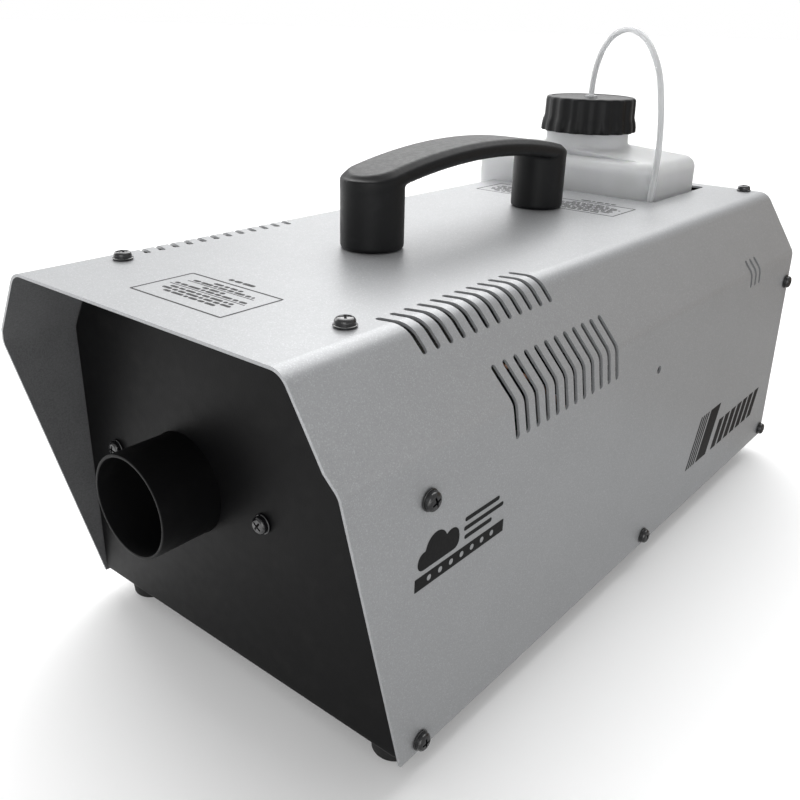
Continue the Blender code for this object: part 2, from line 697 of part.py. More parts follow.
def handle():
    """An arch on two round posts, with a flat bevelled top."""
    def stations(inset):
        reach = POST_R - inset
        ends = [POST_Y[0] - reach * cos(pi * i / 12) for i in range(6)]
        spans = [POST_Y[0] + (POST_Y[1] - POST_Y[0]) * i / 12 for i in range(13)]
        return ends + spans + [sum(POST_Y) - y for y in reversed(ends)]

    def build(shape):
        layers = [(GRIP_CHAMFER, GRIP_TOP), (0, GRIP_TOP - GRIP_CHAMFER * 0.8),
                  (0, GRIP_TOP - GRIP_THICK + 2), (2, GRIP_TOP - GRIP_THICK)]
        loops = []
        for inset, crown in layers:
            rows = stations(inset)
            left = [shape.verts.new(at(HANDLE_X - grip_half_width(y, inset), y, grip_height(y, crown)))
                    for y in rows]
            right = [shape.verts.new(at(HANDLE_X + grip_half_width(y, inset), y, grip_height(y, crown)))
                     for y in rows[1:-1]]
            loops.append(left + right[::-1])
        count = len(loops[0])
        for high, low in zip(loops, loops[1:]):
            for i in range(count):
                j = (i + 1) % count
                shape.faces.new((high[i], high[j], low[j], low[i]))
        last = count // 2
        for loop in (loops[0], loops[-1]):
            for i in range(last):
                across = [loop[i], loop[i + 1], loop[-(i + 1)], loop[-i] if i else loop[0]]
                corners = list(dict.fromkeys(across))
                shape.faces.new(corners)
    made = show("handle", mesh_from("handle", build), BLACK_PLASTIC)
    foot = TOP_Z + GAP
    for name, y in zip(("front", "rear"), POST_Y):
        head = grip_height(y, GRIP_TOP) - 5.0
        post = rod("post", POST_R - 0.15, head - foot, "Z", (0, 0, (head - foot) / 2), 32)
        boolean(made, cutter("post_" + name, post, at(HANDLE_X, y, foot)), "UNION")
        drill = rod("drill", 2.9, 32, "Z", (0, 0, 0), 12)
        boolean(made, cutter("post_drill_" + name, drill, at(HANDLE_X, y, foot)))
        turned("handle_screw_" + name, [(0, 14.5), (2.5, 14.5), (2.5, -1.8), (4.7, -1.8), (4.7, -3.6), (4.0, -4.8),
                                        (0, -4.8)], BLACK_ZINC, at(HANDLE_X, y, TOP_Z), sides=12)
    return smooth(made)


def screw(name, place, axis):
    """A pan-head screw with a washer, its head pointing along axis."""
    washer, head = 0.8, 2.4
    seat = GAP + washer
    top = seat + head
    made = turned(name, [(0, top), (2.6, top), (SCREW_HEAD_R, top - 1.2), (SCREW_HEAD_R, seat), (4.3, seat),
                         (4.3, GAP), (SCREW_R - 0.1, GAP), (SCREW_R - 0.1, -5.4), (0, -5.4)],
                  BLACK_ZINC, place, sides=12)
    made.rotation_euler = Vector(axis).to_track_quat("Z", "Y").to_euler()
    for label, arm in (("slot", (3.4, 0.7, 2.6)), ("cross", (0.7, 3.4, 2.6))):
        tool = block(label, arm, (0, 0, top))
        boolean(made, cutter(f"{name}_{label}", tool, place, made.rotation_euler))
    return made


def screws():
    for label, side in (("left", -1), ("right", 1)):
        for end, y in zip(("front", "rear"), TOP_SCREW_Y):
            screw(f"top_screw_{end}_{label}", at(side * TOP_SCREW_X, y, TOP_Z), (0, 0, 1))
        for name, (y, z) in SIDE_SCREWS.items():
            screw(f"side_screw_{name}_{label}", at(side * HALF_SIDE, y, z), (side, 0, 0))
        x = NOZZLE_X + side * NOZZLE_SCREW_X
        screw(f"outlet_screw_{label}", at(x, PANEL_Y, NOZZLE_Z), (0, -1, 0))


def feet():
    for label, side in (("left", -1), ("right", 1)):
        for end, y in zip(("front", "rear"), FOOT_Y):
            made = turned(f"foot_{end}_{label}",
                          [(0, 3.4), (1.9, 3.4), (1.9, -GAP), (10.0, -GAP), (10.2, -2.4), (9.2, -10.8),
                           (8.0, -FOOT_HEIGHT), (4.6, -FOOT_HEIGHT), (4.6, -8), (0, -8)], RUBBER,
                          at(side * FOOT_X, y, 0), sides=20)
            smooth(made)


# --- heater and outlet -----------------------------------------------------------------

def outlet_parts():
    """The outlet tube with its ears behind the front panel, and the jet inside it."""
    rear = PANEL_Y + 16
    length = rear - NOZZLE_TIP_Y
    tube_mesh = rod("nozzle_shroud", NOZZLE_R, length, "Y", (0, 0, 0), 48)
    made = show("nozzle_shroud", tube_mesh, SATIN_BLACK, at(NOZZLE_X, NOZZLE_TIP_Y + length / 2, NOZZLE_Z))
    ears = block("outlet_ears", (2 * NOZZLE_SCREW_X + 16, 1.5, 26))
    ears_y = PANEL_Y + SHEET + GAP + 0.75
    boolean(made, cutter("outlet_ears", ears, at(NOZZLE_X, ears_y, NOZZLE_Z)), "UNION")
    boolean(made, cutter("outlet_bore", rod("outlet_bore", NOZZLE_R - NOZZLE_WALL, length + 10, "Y", sides=48),
                         made.location))
    drills = join("ear_drills", [rod("drill", SCREW_R + GAP, 8, "Y", (side * NOZZLE_SCREW_X, 0, 0), 12)
                                 for side in (-1, 1)])
    boolean(made, cutter("ear_drills", drills, at(NOZZLE_X, ears_y, NOZZLE_Z)))
    smooth(made)
    turned("nozzle_jet", [(0.9, 18), (2.2, 18), (4.4, 14), (4.4, 8), (8.0, 8), (8.0, 0), (0.9, 0), (0.9, 18)],
           BRASS, at(NOZZLE_X, HEATER_Y[0] - GAP, NOZZLE_Z), (pi / 2, 0, 0), 16)


def heater_parts():
    length = HEATER_Y[1] - HEATER_Y[0]
    middle = at(NOZZLE_X, sum(HEATER_Y) / 2, NOZZLE_Z)
    half_x, half_z = HEATER_HALF
    block_made = show("heater_block", block("heater_block", (2 * half_x, length, 2 * half_z)),
                      BARE_ALUMINIUM, middle)
    edge = block_made.modifiers.new("edges", "BEVEL")
    edge.width = 3 * MM
    edge.segments = 2
    fluid_way = rod("fluid_way", 2.0, length + 10, "Y", sides=12)
    boolean(block_made, cutter("fluid_way", fluid_way, middle))

    outer = (half_x + GAP + JACKET_WALL, half_z + GAP + JACKET_WALL)
    jacket = show("heater_jacket", block("heater_jacket", (2 * outer[0], length - 14, 2 * outer[1])),
                  IVORY_PLASTIC, middle)
    edge = jacket.modifiers.new("edges", "BEVEL")
    edge.width = 6 * MM
    edge.segments = 2
    hollow = block("jacket_hollow", (2 * (half_x + GAP), length + 10, 2 * (half_z + GAP)))
    boolean(jacket, cutter("jacket_hollow", hollow, middle))

    bottom = NOZZLE_Z - outer[1]
    for name, y in (("front", 92.0), ("rear", 182.0)):
        line = [(-18, 1.5 + SHEET), (-9, 1.5 + SHEET), (-6, bottom - GAP), (6, bottom - GAP), (9, 1.5 + SHEET),
                (18, 1.5 + SHEET)]
        sheet_strip("heater_bracket_" + name, line, 60, at(NOZZLE_X, y, 0), BARE_STEEL)
    top = NOZZLE_Z + outer[1] + GAP
    for name, y, radius in (("thermostat", 110.0, 8.0), ("thermal_cutout", 162.0, 6.5)):
        turned(name, [(0, 9), (radius - 1, 9), (radius, 8), (radius, 3), (radius + 3.5, 3),
                      (radius + 3.5, 0), (0, 0)],
               BARE_ALUMINIUM, at(NOZZLE_X, y, top), sides=20)


def sheet_strip(name, line, width, place, finish, thickness=SHEET):
    """A strip of sheet folded along a (y, z) line, width mm wide."""
    mesh = bpy.data.meshes.new(name)
    shape = bmesh.new()
    sides = [[shape.verts.new(Vector((x * width / 2, y, z)) * MM) for y, z in line] for x in (-1, 1)]
    for i in range(len(line) - 1):
        shape.faces.new((sides[0][i], sides[1][i], sides[1][i + 1], sides[0][i + 1]))
    shape.to_mesh(mesh)
    shape.free()
    made = show(name, mesh, finish, place)
    thick = made.modifiers.new("sheet", "SOLIDIFY")
    thick.thickness = thickness * MM
    thick.offset = -1
    thick.use_even_offset = True
    return made


# --- pump and electrics ----------------------------------------------------------------

def pump_parts():
    place = at(PUMP_X, PUMP_Y, PUMP_Z)
    body = show("pump_body", rod("pump_body", 8, 100, "Y", sides=24), BARE_STEEL, place)
    boolean(body, cutter("pump_coil", block("pump_coil", (40, 46, 40)), place), "UNION")
    boolean(body, cutter("pump_hex", rod("pump_hex", 11, 16, "Y", (0, 34, 0), 6), place), "UNION")
    boolean(body, cutter("pump_bore", rod("pump_bore", 4.6, 76, "Y", (0, -13, 0), 20), place))
    boolean(body, cutter("pump_outlet", rod("pump_outlet", 1.6, 60, "Y", (0, 40, 0), 12), place))
    turned("pump_plunger", [(1.2, 26), (4.2, 26), (4.2, -26), (1.2, -26), (1.2, 26)], BARE_STEEL,
           at(PUMP_X, PUMP_Y - 8, PUMP_Z), (-pi / 2, 0, 0), 16)
    floor = 1.5 + SHEET
    seat = PUMP_Z - 20 - GAP
    line = [(-46, floor), (-29, floor), (-29, seat), (29, seat), (29, floor), (46, floor)]
    sheet_strip("pump_bracket", line, 36, at(PUMP_X, PUMP_Y, 0), BARE_STEEL)
    pipe("pressure_pipe", [(PUMP_X, 230.4, PUMP_Z), (PUMP_X, 236, PUMP_Z), (50, 247, 43), (36, 255, 52),
                           (14, 256, 64), (-8, 248, 73), (-20, 236, 76.4), (NOZZLE_X, 225, NOZZLE_Z),
                           (NOZZLE_X, HEATER_Y[1] + GAP, NOZZLE_Z)], 4.0, COPPER, 8)


def electrics():
    x, y = BOARD
    carrier_z = 1.5 + SHEET / 2
    carrier = show("board_carrier", block("board_carrier", (104, 62, 2)), IVORY_PLASTIC,
                   at(x, y, carrier_z + 1))
    posts = join("carrier_posts", [rod("post", 3, 8, "Z", (sx * 46, sy * 26, 4.5), 12)
                                   for sx in (-1, 1) for sy in (-1, 1)])
    boolean(carrier, cutter("carrier_posts", posts, carrier.location), "UNION")
    board_z = carrier_z + 9.5 + GAP + 0.8
    show("control_board", block("control_board", (100, 60, 1.6)), BOARD_GREEN, at(x, y, board_z))
    deck = board_z + 0.8 + GAP
    for name, size, dx, dy, finish in (
            ("transformer", (36, 30, 28), -26, 8, BARE_STEEL),
            ("relay", (16, 19, 15), 14, 14, IVORY_PLASTIC),
            ("terminal_block", (34, 11, 12), 28, -20, BOARD_GREEN)):
        made = show(name, block(name, size), finish, at(x + dx, y + dy, deck + size[2] / 2))
        edge = made.modifiers.new("edges", "BEVEL")
        edge.width = 0.8 * MM
        edge.segments = 1


def rear_fittings():
    turn = (TILT, 0, 0)
    # Mains inlet: a flange, a body behind it, and a socket with three pins.
    place = on_rear(*INLET)
    inlet = show("mains_inlet", block("mains_inlet", (27.2, 26, 19.8), (0, -11, 0)),
                 BLACK_PLASTIC, place, turn)
    flange = block("inlet_flange", (31, 2.4, 24), (0, 1.2 + GAP, 0))
    boolean(inlet, cutter("inlet_flange", flange, place, turn), "UNION")
    boolean(inlet, cutter("inlet_socket", block("inlet_socket", (23, 18, 15.6), (0, -5, 0)), place, turn))
    pin_places = ((-7, -1.5), (0, 1.5), (7, -1.5))
    pins = join("inlet_pins", [block("pin", (2, 12, 4), (dx, -9, dz)) for dx, dz in pin_places])
    boolean(inlet, cutter("inlet_pins", pins, place, turn), "UNION")

    # Fuse holder and its turning cap.
    place = on_rear(*FUSE)
    turned("fuse_holder", [(6.9, 1.2 + GAP), (8.4, 1.2 + GAP), (8.4, GAP), (6.1, GAP), (6.1, -24), (1.0, -24), (1.0, -22),
                           (5.0, -22), (5.0, -3), (6.9, -0.2 + GAP + 0.1), (6.9, 1.2 + GAP)],
           BLACK_PLASTIC, place, (-pi / 2 + TILT, 0, 0), 20)
    end_r = 5.6
    reach = (OVERALL_LENGTH * MM - (place.y - aft(0))) / MM / cos(TILT) - end_r * REAR_SLOPE
    cap = turned("fuse_cap", [(0, reach), (end_r, reach), (6.2, reach - 0.6), (6.4, 1.9), (4.4, 1.9),
                              (4.4, -14), (0, -14)], BLACK_PLASTIC, place, (-pi / 2 + TILT, 0, 0), 20)
    slot = block("fuse_slot", (9, 1.2, 1.6), (0, 0, reach))
    boolean(cap, cutter("fuse_slot", slot, place, (-pi / 2 + TILT, 0, 0)))

    # Socket for the wired remote control.
    place = on_rear(*REMOTE)
    socket = show("remote_socket", rod("remote_socket", 8.0, 22, "Y", (0, -9, 0), 24),
                  BLACK_PLASTIC, place, turn)
    flange = rod("remote_flange", 11, 1.7, "Y", (0, 0.85 + GAP, 0), 24)
    boolean(socket, cutter("remote_flange", flange, place, turn), "UNION")
    recess = rod("remote_recess", 6.6, 12, "Y", (0, -3.5, 0), 24)
    boolean(socket, cutter("remote_recess", recess, place, turn))
    pins = join("remote_pins", [rod("pin", 0.9, 7, "Y", (3.6 * cos(a), -7, 3.6 * sin(a)), 8)
                                for a in (radians(30), radians(150), radians(270))])
    boolean(socket, cutter("remote_pins", pins, place, turn), "UNION")

    # Rocker switch: a bezel, and the rocker that tips in it.
    place = on_rear(*SWITCH)
    bezel = show("rocker_bezel", block("rocker_bezel", (13.0, 20, 19.2), (0, -8.4, 0)),
                 BLACK_PLASTIC, place, turn)
    flange = block("bezel_flange", (15, 1.6, 21), (0, 0.8 + GAP, 0))
    boolean(bezel, cutter("bezel_flange", flange, place, turn), "UNION")
    boolean(bezel, cutter("bezel_well", block("bezel_well", (10.2, 22, 16.6), (0, -2, 0)), place, turn))
    spot = place + Vector((0, -ROCKER_DEPTH * cos(TILT), -ROCKER_DEPTH * sin(TILT))) * MM
    face = ROCKER_DEPTH + 1.6
    outline = [(-6, -3), (6, -3), (7.4, face - 1.6), (0, face - 2.4), (-7.4, face - 1.6)]
    show("rocker", outline_mesh("rocker", outline, 9.4, "ZY"), BLACK_PLASTIC, spot,
         (TILT + ROCKER_TILT, 0, 0))


cover()
base_tray()
front_panel()
rear_panel()
tank_well()
fluid_parts()
handle()
screws()
feet()
outlet_parts()
heater_parts()
pump_parts()
electrics()
rear_fittings()
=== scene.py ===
"""Looks of the fog machine: fine meshes, finishes, light and camera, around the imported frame.

Lengths are in millimetres unless a name or a comment says metres. Places along the machine
are counted from the cover's front edge and heights from its bottom edge, as at() reads them.
"""
from math import atan, cos, pi, radians, sin, sqrt, tan, tau

import bmesh
import bpy
from mathutils import Matrix, Vector


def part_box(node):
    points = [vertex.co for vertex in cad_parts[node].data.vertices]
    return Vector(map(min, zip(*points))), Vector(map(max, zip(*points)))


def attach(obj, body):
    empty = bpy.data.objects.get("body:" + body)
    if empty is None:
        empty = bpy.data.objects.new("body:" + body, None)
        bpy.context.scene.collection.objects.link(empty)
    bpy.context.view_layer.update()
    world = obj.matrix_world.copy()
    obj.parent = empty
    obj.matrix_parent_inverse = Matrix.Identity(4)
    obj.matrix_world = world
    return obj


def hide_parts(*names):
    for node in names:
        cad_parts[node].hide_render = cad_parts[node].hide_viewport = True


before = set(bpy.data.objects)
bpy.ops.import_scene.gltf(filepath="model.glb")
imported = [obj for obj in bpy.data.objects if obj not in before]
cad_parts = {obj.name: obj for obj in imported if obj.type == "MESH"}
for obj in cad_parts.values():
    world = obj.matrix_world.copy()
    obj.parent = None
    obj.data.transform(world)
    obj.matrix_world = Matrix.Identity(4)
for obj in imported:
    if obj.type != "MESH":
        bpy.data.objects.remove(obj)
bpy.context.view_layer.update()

MM = 0.001
COVER_LOW, COVER_HIGH = (Vector(corner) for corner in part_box("cover"))


def at(x, y, z):
    """Metres in the row frame, from mm across, behind the cover's front edge and above its bottom edge."""
    return Vector((x * MM, COVER_LOW.y + y * MM, COVER_LOW.z + z * MM))


# Cover
SHEET = 1.2
GAP = 0.3
TOP_Z = (COVER_HIGH.z - COVER_LOW.z) / MM
HALF_SIDE = COVER_HIGH.x / MM
HALF_TOP = 75.0
SHOULDER_Z = 129.0
TOP_BEND = 9.0
SHOULDER_BEND = 9.0
BEND_STEPS = 12
TOP_LENGTH = 412.0
REAR_SLOPE = 0.08
HOOD_CORNER_Z = 136.0
PANEL_Y = 33.6
CUTOUT_RIGHT = 38.6
CUTOUT_LEFT_Z = 137.0
CUTOUT_Y = (324.6, 401.6)
REAR_FACE = 411.0
SLOT_WIDTH = 2.8
SCREW_HOLE_R = 2.3
BRACKET_HOLE = (225.6, 104.0, 2.1)        # y, z and radius
HANDLE_HOLE_R = 2.8
NOZZLE_R = 22.4
NOZZLE_WALL = 1.4
NOZZLE_SCREW_X = 48.0                     # from the outlet's middle
EAR_THICK = 1.5
FRONT_RIM = 14.0                          # how far each panel's rim turns back
REAR_RIM = 8.3
CUTOUT_CORNER = 3.0

# Handle, bottle, cap
POST_R = 14.2
GRIP_RADIUS = 360.0
GRIP_THICK = 8.2
GRIP_CHAMFER = 3.4
BOTTLE_CORNER = 12.0
BOTTLE_ROUND = 7.5
BOTTLE_WALL = 1.5
BOTTLE_WALL_TOP = 112.5       # from its floor to the round of the shoulder
NECK_R = 25.6
NECK_HEIGHT = 25.3            # from the shoulder to the mouth
CAP_R = 27.6
CAP_SKIRT_R = 28.9
CAP_LOBES = 18


def shown(name, data):
    """A new object in the scene."""
    made = bpy.data.objects.new(name, data)
    bpy.context.scene.collection.objects.link(made)
    return made


def node_span(name):
    """A node's lowest corner, highest corner and middle, in metres."""
    low, high = (Vector(corner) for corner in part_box(name))
    return low, high, (low + high) / 2


# --- camera and hose -------------------------------------------------------------------

CAMERA_PLACE = Vector((0.2452, -0.3690, 0.2660))      # metres
CAMERA_TURN = radians(39.1)       # left of straight along the machine
CAMERA_TILT = radians(23.5)       # downwards
CAMERA_ROLL = radians(1.47)
CAMERA_LENS = 38.87


def add_camera():
    ahead = Vector((-sin(CAMERA_TURN) * cos(CAMERA_TILT), cos(CAMERA_TURN) * cos(CAMERA_TILT),
                    -sin(CAMERA_TILT)))
    level = Vector((cos(CAMERA_TURN), sin(CAMERA_TURN), 0))
    upright = level.cross(ahead)
    across = level * cos(CAMERA_ROLL) + upright * sin(CAMERA_ROLL)
    top = upright * cos(CAMERA_ROLL) - level * sin(CAMERA_ROLL)
    lens = bpy.data.cameras.new("camera")
    lens.lens = CAMERA_LENS
    lens.sensor_width = 36
    lens.clip_start = 0.01
    made = shown("camera", lens)
    turn = Matrix((across, top, -ahead)).transposed().to_4x4()
    made.matrix_world = Matrix.Translation(CAMERA_PLACE) @ turn
    bpy.context.scene.camera = made


add_camera()

HOSE_D = 3.4
HOSE_BORE = 2.2
CAP_X, CAP_Y = -27.3, 362.0
HOSE_ROUTE = [                    # x, y from the cover's front edge, z from its bottom edge
    (CAP_X, CAP_Y, 216.4), (CAP_X, CAP_Y, 220.0), (-26.6, 361.6, 227.0), (-24.6, 360.4, 234.6),
    (-20.4, 358.0, 243.0), (-12.6, 353.6, 250.6), (-0.8, 347.2, 254.6), (9.0, 341.8, 253.0),
    (17.7, 337.2, 248.0), (25.0, 333.2, 240.0), (29.8, 330.6, 231.6), (33.4, 328.4, 220.0),
    (35.9, 327.2, 206.0), (37.0, 326.6, 192.0), (36.7, 326.7, 178.0), (35.6, 327.4, 166.0),
    (35.0, 327.9, 152.0), (35.0, 327.9, 130.0), (35.0, 327.9, 104.0), (35.0, 327.9, 82.0),
    (35.0, 327.9, 63.0),
]
HOSE_STEP = 2.0


def smooth_route(points, step):
    """Points about step mm apart on a smooth curve through the route's points."""
    points = [Vector(p) for p in points]
    ends = [points[0] * 2 - points[1]] + points + [points[-1] * 2 - points[-2]]
    line = []
    for a, b, c, d in zip(ends, ends[1:], ends[2:], ends[3:]):
        times = [0.0]
        for first, second in ((a, b), (b, c), (c, d)):
            times.append(times[-1] + sqrt((second - first).length))
        count = max(1, round((c - b).length / step))
        for index in range(count):
            t = times[1] + (times[2] - times[1]) * index / count
            legs = [p + (q - p) * ((t - t0) / (t1 - t0)) for p, q, t0, t1 in
                    ((a, b, times[0], times[1]), (b, c, times[1], times[2]), (c, d, times[2], times[3]))]
            near = legs[0] + (legs[1] - legs[0]) * ((t - times[0]) / (times[2] - times[0]))
            far = legs[1] + (legs[2] - legs[1]) * ((t - times[1]) / (times[3] - times[1]))
            line.append(near + (far - near) * ((t - times[1]) / (times[2] - times[1])))
    line.append(points[-1])
    return line


def swept(path, radius, sides=20):
    """Rings of points round a path, in metres, turned as little as possible from one to the next."""
    rings = []
    side = None
    for index, place in enumerate(path):
        ahead = (path[min(index + 1, len(path) - 1)] - path[max(index - 1, 0)]).normalized()
        side = ahead.orthogonal() if side is None else side - ahead * side.dot(ahead)
        side.normalize()
        across = ahead.cross(side)
        rings.append([place + (side * cos(tau * i / sides) + across * sin(tau * i / sides)) * radius
                      for i in range(sides)])
    return rings


def hose():
    """The clear tube that arches from the cap down into the bottle's tray, with its bore."""
    path = [at(*p) for p in smooth_route(HOSE_ROUTE, HOSE_STEP)]
    outside = swept(path, HOSE_D * MM / 2)
    bore = swept(path, HOSE_BORE * MM / 2)
    mesh = loft("fluid_hose", outside + bore[::-1] + outside[:1], closed=False)
    made = piece("fluid_hose", mesh, "cap_carrier", "clear_hose", CLEAR_HOSE, "fluid_tube", sharp=60)


# --- finishes --------------------------------------------------------------------------

class Value:
    """A node's output that takes part in sums; each operator adds a Math node."""

    def __init__(self, finish, socket):
        self.finish = finish
        self.socket = socket

    def sum(self, operation, first, second):
        return self.finish.node("ShaderNodeMath", {"operation": operation}, {0: first, 1: second})

    def __add__(self, other):
        return self.sum("ADD", self, other)

    def __radd__(self, other):
        return self.sum("ADD", other, self)

    def __sub__(self, other):
        return self.sum("SUBTRACT", self, other)

    def __rsub__(self, other):
        return self.sum("SUBTRACT", other, self)

    def __mul__(self, other):
        return self.sum("MULTIPLY", self, other)

    def __rmul__(self, other):
        return self.sum("MULTIPLY", other, self)


class Finish:
    """A procedural material, measured in the piece's own metres."""

    def __init__(self, name, **constants):
        self.material = bpy.data.materials.new(name)
        self.material.use_nodes = True
        self.tree = self.material.node_tree
        self.shader = self.tree.nodes["Principled BSDF"]
        self.place = self.node("ShaderNodeTexCoord", output="Object")
        for socket, value in constants.items():
            self.shader.inputs[socket.replace("_", " ").title().replace("Ior", "IOR")].default_value = value

    def node(self, kind, settings=None, inputs=None, output=0):
        made = self.tree.nodes.new(kind)
        for name, setting in (settings or {}).items():
            if name == "stops":
                self.set_stops(made.color_ramp, setting)
            else:
                setattr(made, name, setting)
        for name, value in (inputs or {}).items():
            self.feed(made.inputs[name], value)
        return Value(self, made.outputs[output])

    def set_stops(self, ramp, stops):
        while len(ramp.elements) < len(stops):
            ramp.elements.new(0.5)
        for element, (place, colour) in zip(ramp.elements, stops):
            element.position = place
            element.color = (*colour, 1)

    def feed(self, socket, value):
        if isinstance(value, Value):
            self.tree.links.new(value.socket, socket)
        else:
            socket.default_value = value

    def noise(self, size, detail=2.0, stretch=(1, 1, 1)):
        """Soft noise from 0 to 1 whose lumps are about size mm, drawn out along an axis by stretch."""
        scale = tuple(1 / s for s in stretch)
        place = self.node("ShaderNodeMapping", None, {"Vector": self.place, "Scale": scale})
        return self.node("ShaderNodeTexNoise", None,
                         {"Vector": place, "Scale": 1 / (size * MM), "Detail": detail})

    def grains(self, size):
        """A random shade, 0 to 1, on each of many cells about size mm wide."""
        cells = self.node("ShaderNodeTexVoronoi", None, {"Vector": self.place, "Scale": 1 / (size * MM)},
                          output="Color")
        return self.node("ShaderNodeSeparateColor", None, {"Color": cells})

    def ramp(self, value, *stops):
        """Colours along a value, each stop a place from 0 to 1 and a colour."""
        return self.node("ShaderNodeValToRGB", {"stops": stops}, {"Fac": value})

    def band(self, value, low, high):
        """0 below low, 1 above high."""
        return self.node("ShaderNodeMapRange", {"interpolation_type": "SMOOTHSTEP"},
                         {"Value": value, "From Min": low, "From Max": high})

    def blend(self, mask, first, second):
        """One colour or another by a mask."""
        return self.node("ShaderNodeMix", {"data_type": "RGBA"}, {"Factor": mask, 6: first, 7: second},
                         output=2)

    def colour(self, value):
        self.feed(self.shader.inputs["Base Color"], value)

    def roughness(self, value):
        self.feed(self.shader.inputs["Roughness"], value)

    def bump(self, height, depth):
        """A relief depth mm deep."""
        relief = self.node("ShaderNodeBump", None, {"Height": height, "Distance": depth * MM})
        self.feed(self.shader.inputs["Normal"], relief)


def rgb(*shade):
    return (*shade, 1.0)


def powder_grey():
    """Silver-grey powder coat with a fine texture and bright metal flake."""
    made = Finish("powder_grey", metallic=0.35, specular_ior_level=0.5)
    flake = made.grains(0.35)
    sparkle = made.band(flake, 0.86, 0.98)
    cloud = made.noise(30, 3)
    tone = flake * 0.45 + cloud * 0.35 + 0.1
    paint = made.ramp(tone, (0.1, (0.298, 0.303, 0.310)), (0.5, (0.336, 0.342, 0.350)),
                      (0.9, (0.375, 0.381, 0.390)))
    made.colour(made.blend(sparkle * 0.35, paint, rgb(0.50, 0.51, 0.53)))
    made.roughness(0.36 + 0.10 * made.noise(3, 3) - sparkle * 0.08)
    sand = made.noise(0.6, 3)
    orange_peel = made.noise(2.4, 1)
    made.bump(sand * 0.6 + orange_peel * 0.4, 0.018)
    return made.material


def hood_painted_shade():
    """The cover's inner face: a coat darkened to paint the shade inside the hood, with random blotches of
    tone.
    """
    made = Finish("hood_painted_shade", specular_ior_level=0.2)
    tone = made.noise(18, 4) * 0.6 + made.grains(0.5) * 0.4
    # painted shade: the inner face gets a dark grey that stands for the shade inside the hood
    made.colour(made.ramp(tone, (0.2, (0.085, 0.086, 0.088)), (0.8, (0.125, 0.126, 0.129))))
    made.roughness(0.5 + 0.15 * made.noise(4, 2))
    made.bump(made.noise(0.7, 3), 0.05)
    return made.material


def satin_black():
    """Satin black coat on sheet steel, with a trace of dust."""
    made = Finish("satin_black_coat", specular_ior_level=0.11)
    dust = made.band(made.noise(14, 5), 0.52, 0.78)
    made.colour(made.blend(dust * 0.35, rgb(0.0035, 0.0035, 0.0038), rgb(0.011, 0.0108, 0.0105)))
    made.roughness(0.36 + 0.16 * made.noise(5, 3))
    made.bump(made.noise(0.8, 3), 0.04)
    return made.material


def black_plastic():
    """Moulded plastic with a fine spark-eroded grain and light scuffs."""
    made = Finish("black_plastic", specular_ior_level=0.22)
    scuff = made.band(made.noise(6, 6, (6, 1, 1)), 0.58, 0.8)
    made.colour(made.blend(scuff * 0.4, rgb(0.0055, 0.0058, 0.0064), rgb(0.015, 0.0155, 0.017)))
    made.roughness(0.34 + 0.2 * made.noise(2.5, 4))
    grain = made.noise(0.35, 2) * 0.7 + made.noise(1.1, 2) * 0.3
    made.bump(grain, 0.05)
    return made.material


def black_zinc():
    """Black zinc on steel screws, thin in random patches."""
    made = Finish("black_zinc", specular_ior_level=0.9)
    worn = made.band(made.noise(0.9, 4), 0.55, 0.75)
    made.colour(made.blend(worn * 0.5, rgb(0.006, 0.006, 0.007), rgb(0.022, 0.022, 0.024)))
    made.roughness(0.10 + 0.14 * made.noise(1.4, 3))
    made.bump(made.noise(0.4, 2), 0.015)
    return made.material


def bare_metal(name, dark, light, rough, grain=(1, 12, 1)):
    """Rolled or turned metal with drawn-out tool marks."""
    made = Finish(name, metallic=1.0)
    marks = made.noise(0.6, 5, grain)
    stain = made.noise(11, 4)
    made.colour(made.blend(stain * 0.6 + marks * 0.4, rgb(*dark), rgb(*light)))
    made.roughness(rough + 0.18 * marks)
    made.bump(marks, 0.02)
    return made.material


def rubber():
    made = Finish("rubber", specular_ior_level=0.35)
    bloom = made.band(made.noise(3.5, 5), 0.5, 0.8)
    made.colour(made.blend(bloom * 0.5, rgb(0.010, 0.010, 0.010), rgb(0.034, 0.033, 0.032)))
    made.roughness(0.62 + 0.22 * made.noise(1.5, 3))
    made.bump(made.noise(0.3, 3), 0.05)
    return made.material


def bottle_plastic():
    """Milky blow-moulded polyethylene with streaks of tone drawn out upwards."""
    made = Finish("bottle_plastic", transmission_weight=0.4, ior=1.3, subsurface_weight=0.8,
                  subsurface_scale=0.012, specular_ior_level=0.45)
    made.shader.inputs["Subsurface Radius"].default_value = (1.0, 0.95, 1.05)
    flow = made.noise(22, 3, (1, 1, 3))
    made.colour(made.ramp(flow, (0.2, (0.87, 0.875, 0.905)), (0.8, (0.95, 0.955, 0.98))))
    made.roughness(0.26 + 0.2 * made.noise(7, 3))
    made.bump(made.noise(1.6, 3) * 0.5 + made.noise(9, 2) * 0.5, 0.10)
    return made.material


def clear_hose():
    """Clear soft tube, faintly cloudy, with fluid marks inside."""
    made = Finish("clear_hose", transmission_weight=0.45, ior=1.42, specular_ior_level=0.5)
    cloud = made.noise(7, 4, (1, 1, 2))
    made.colour(made.ramp(cloud, (0.2, (0.74, 0.75, 0.76)), (0.8, (0.88, 0.89, 0.90))))
    made.roughness(0.16 + 0.16 * made.noise(3, 3))
    made.bump(made.noise(1.2, 2), 0.03)
    return made.material


def ink():
    """Screen-printed dark ink with a slightly broken face."""
    made = Finish("ink", specular_ior_level=0.2)
    gaps = made.band(made.noise(0.5, 4), 0.6, 0.75)
    made.colour(made.blend(gaps * 0.35, rgb(0.004, 0.004, 0.0045), rgb(0.022, 0.022, 0.022)))
    made.roughness(0.42 + 0.16 * made.noise(1.5, 3))
    made.bump(made.noise(0.5, 3), 0.02)
    return made.material


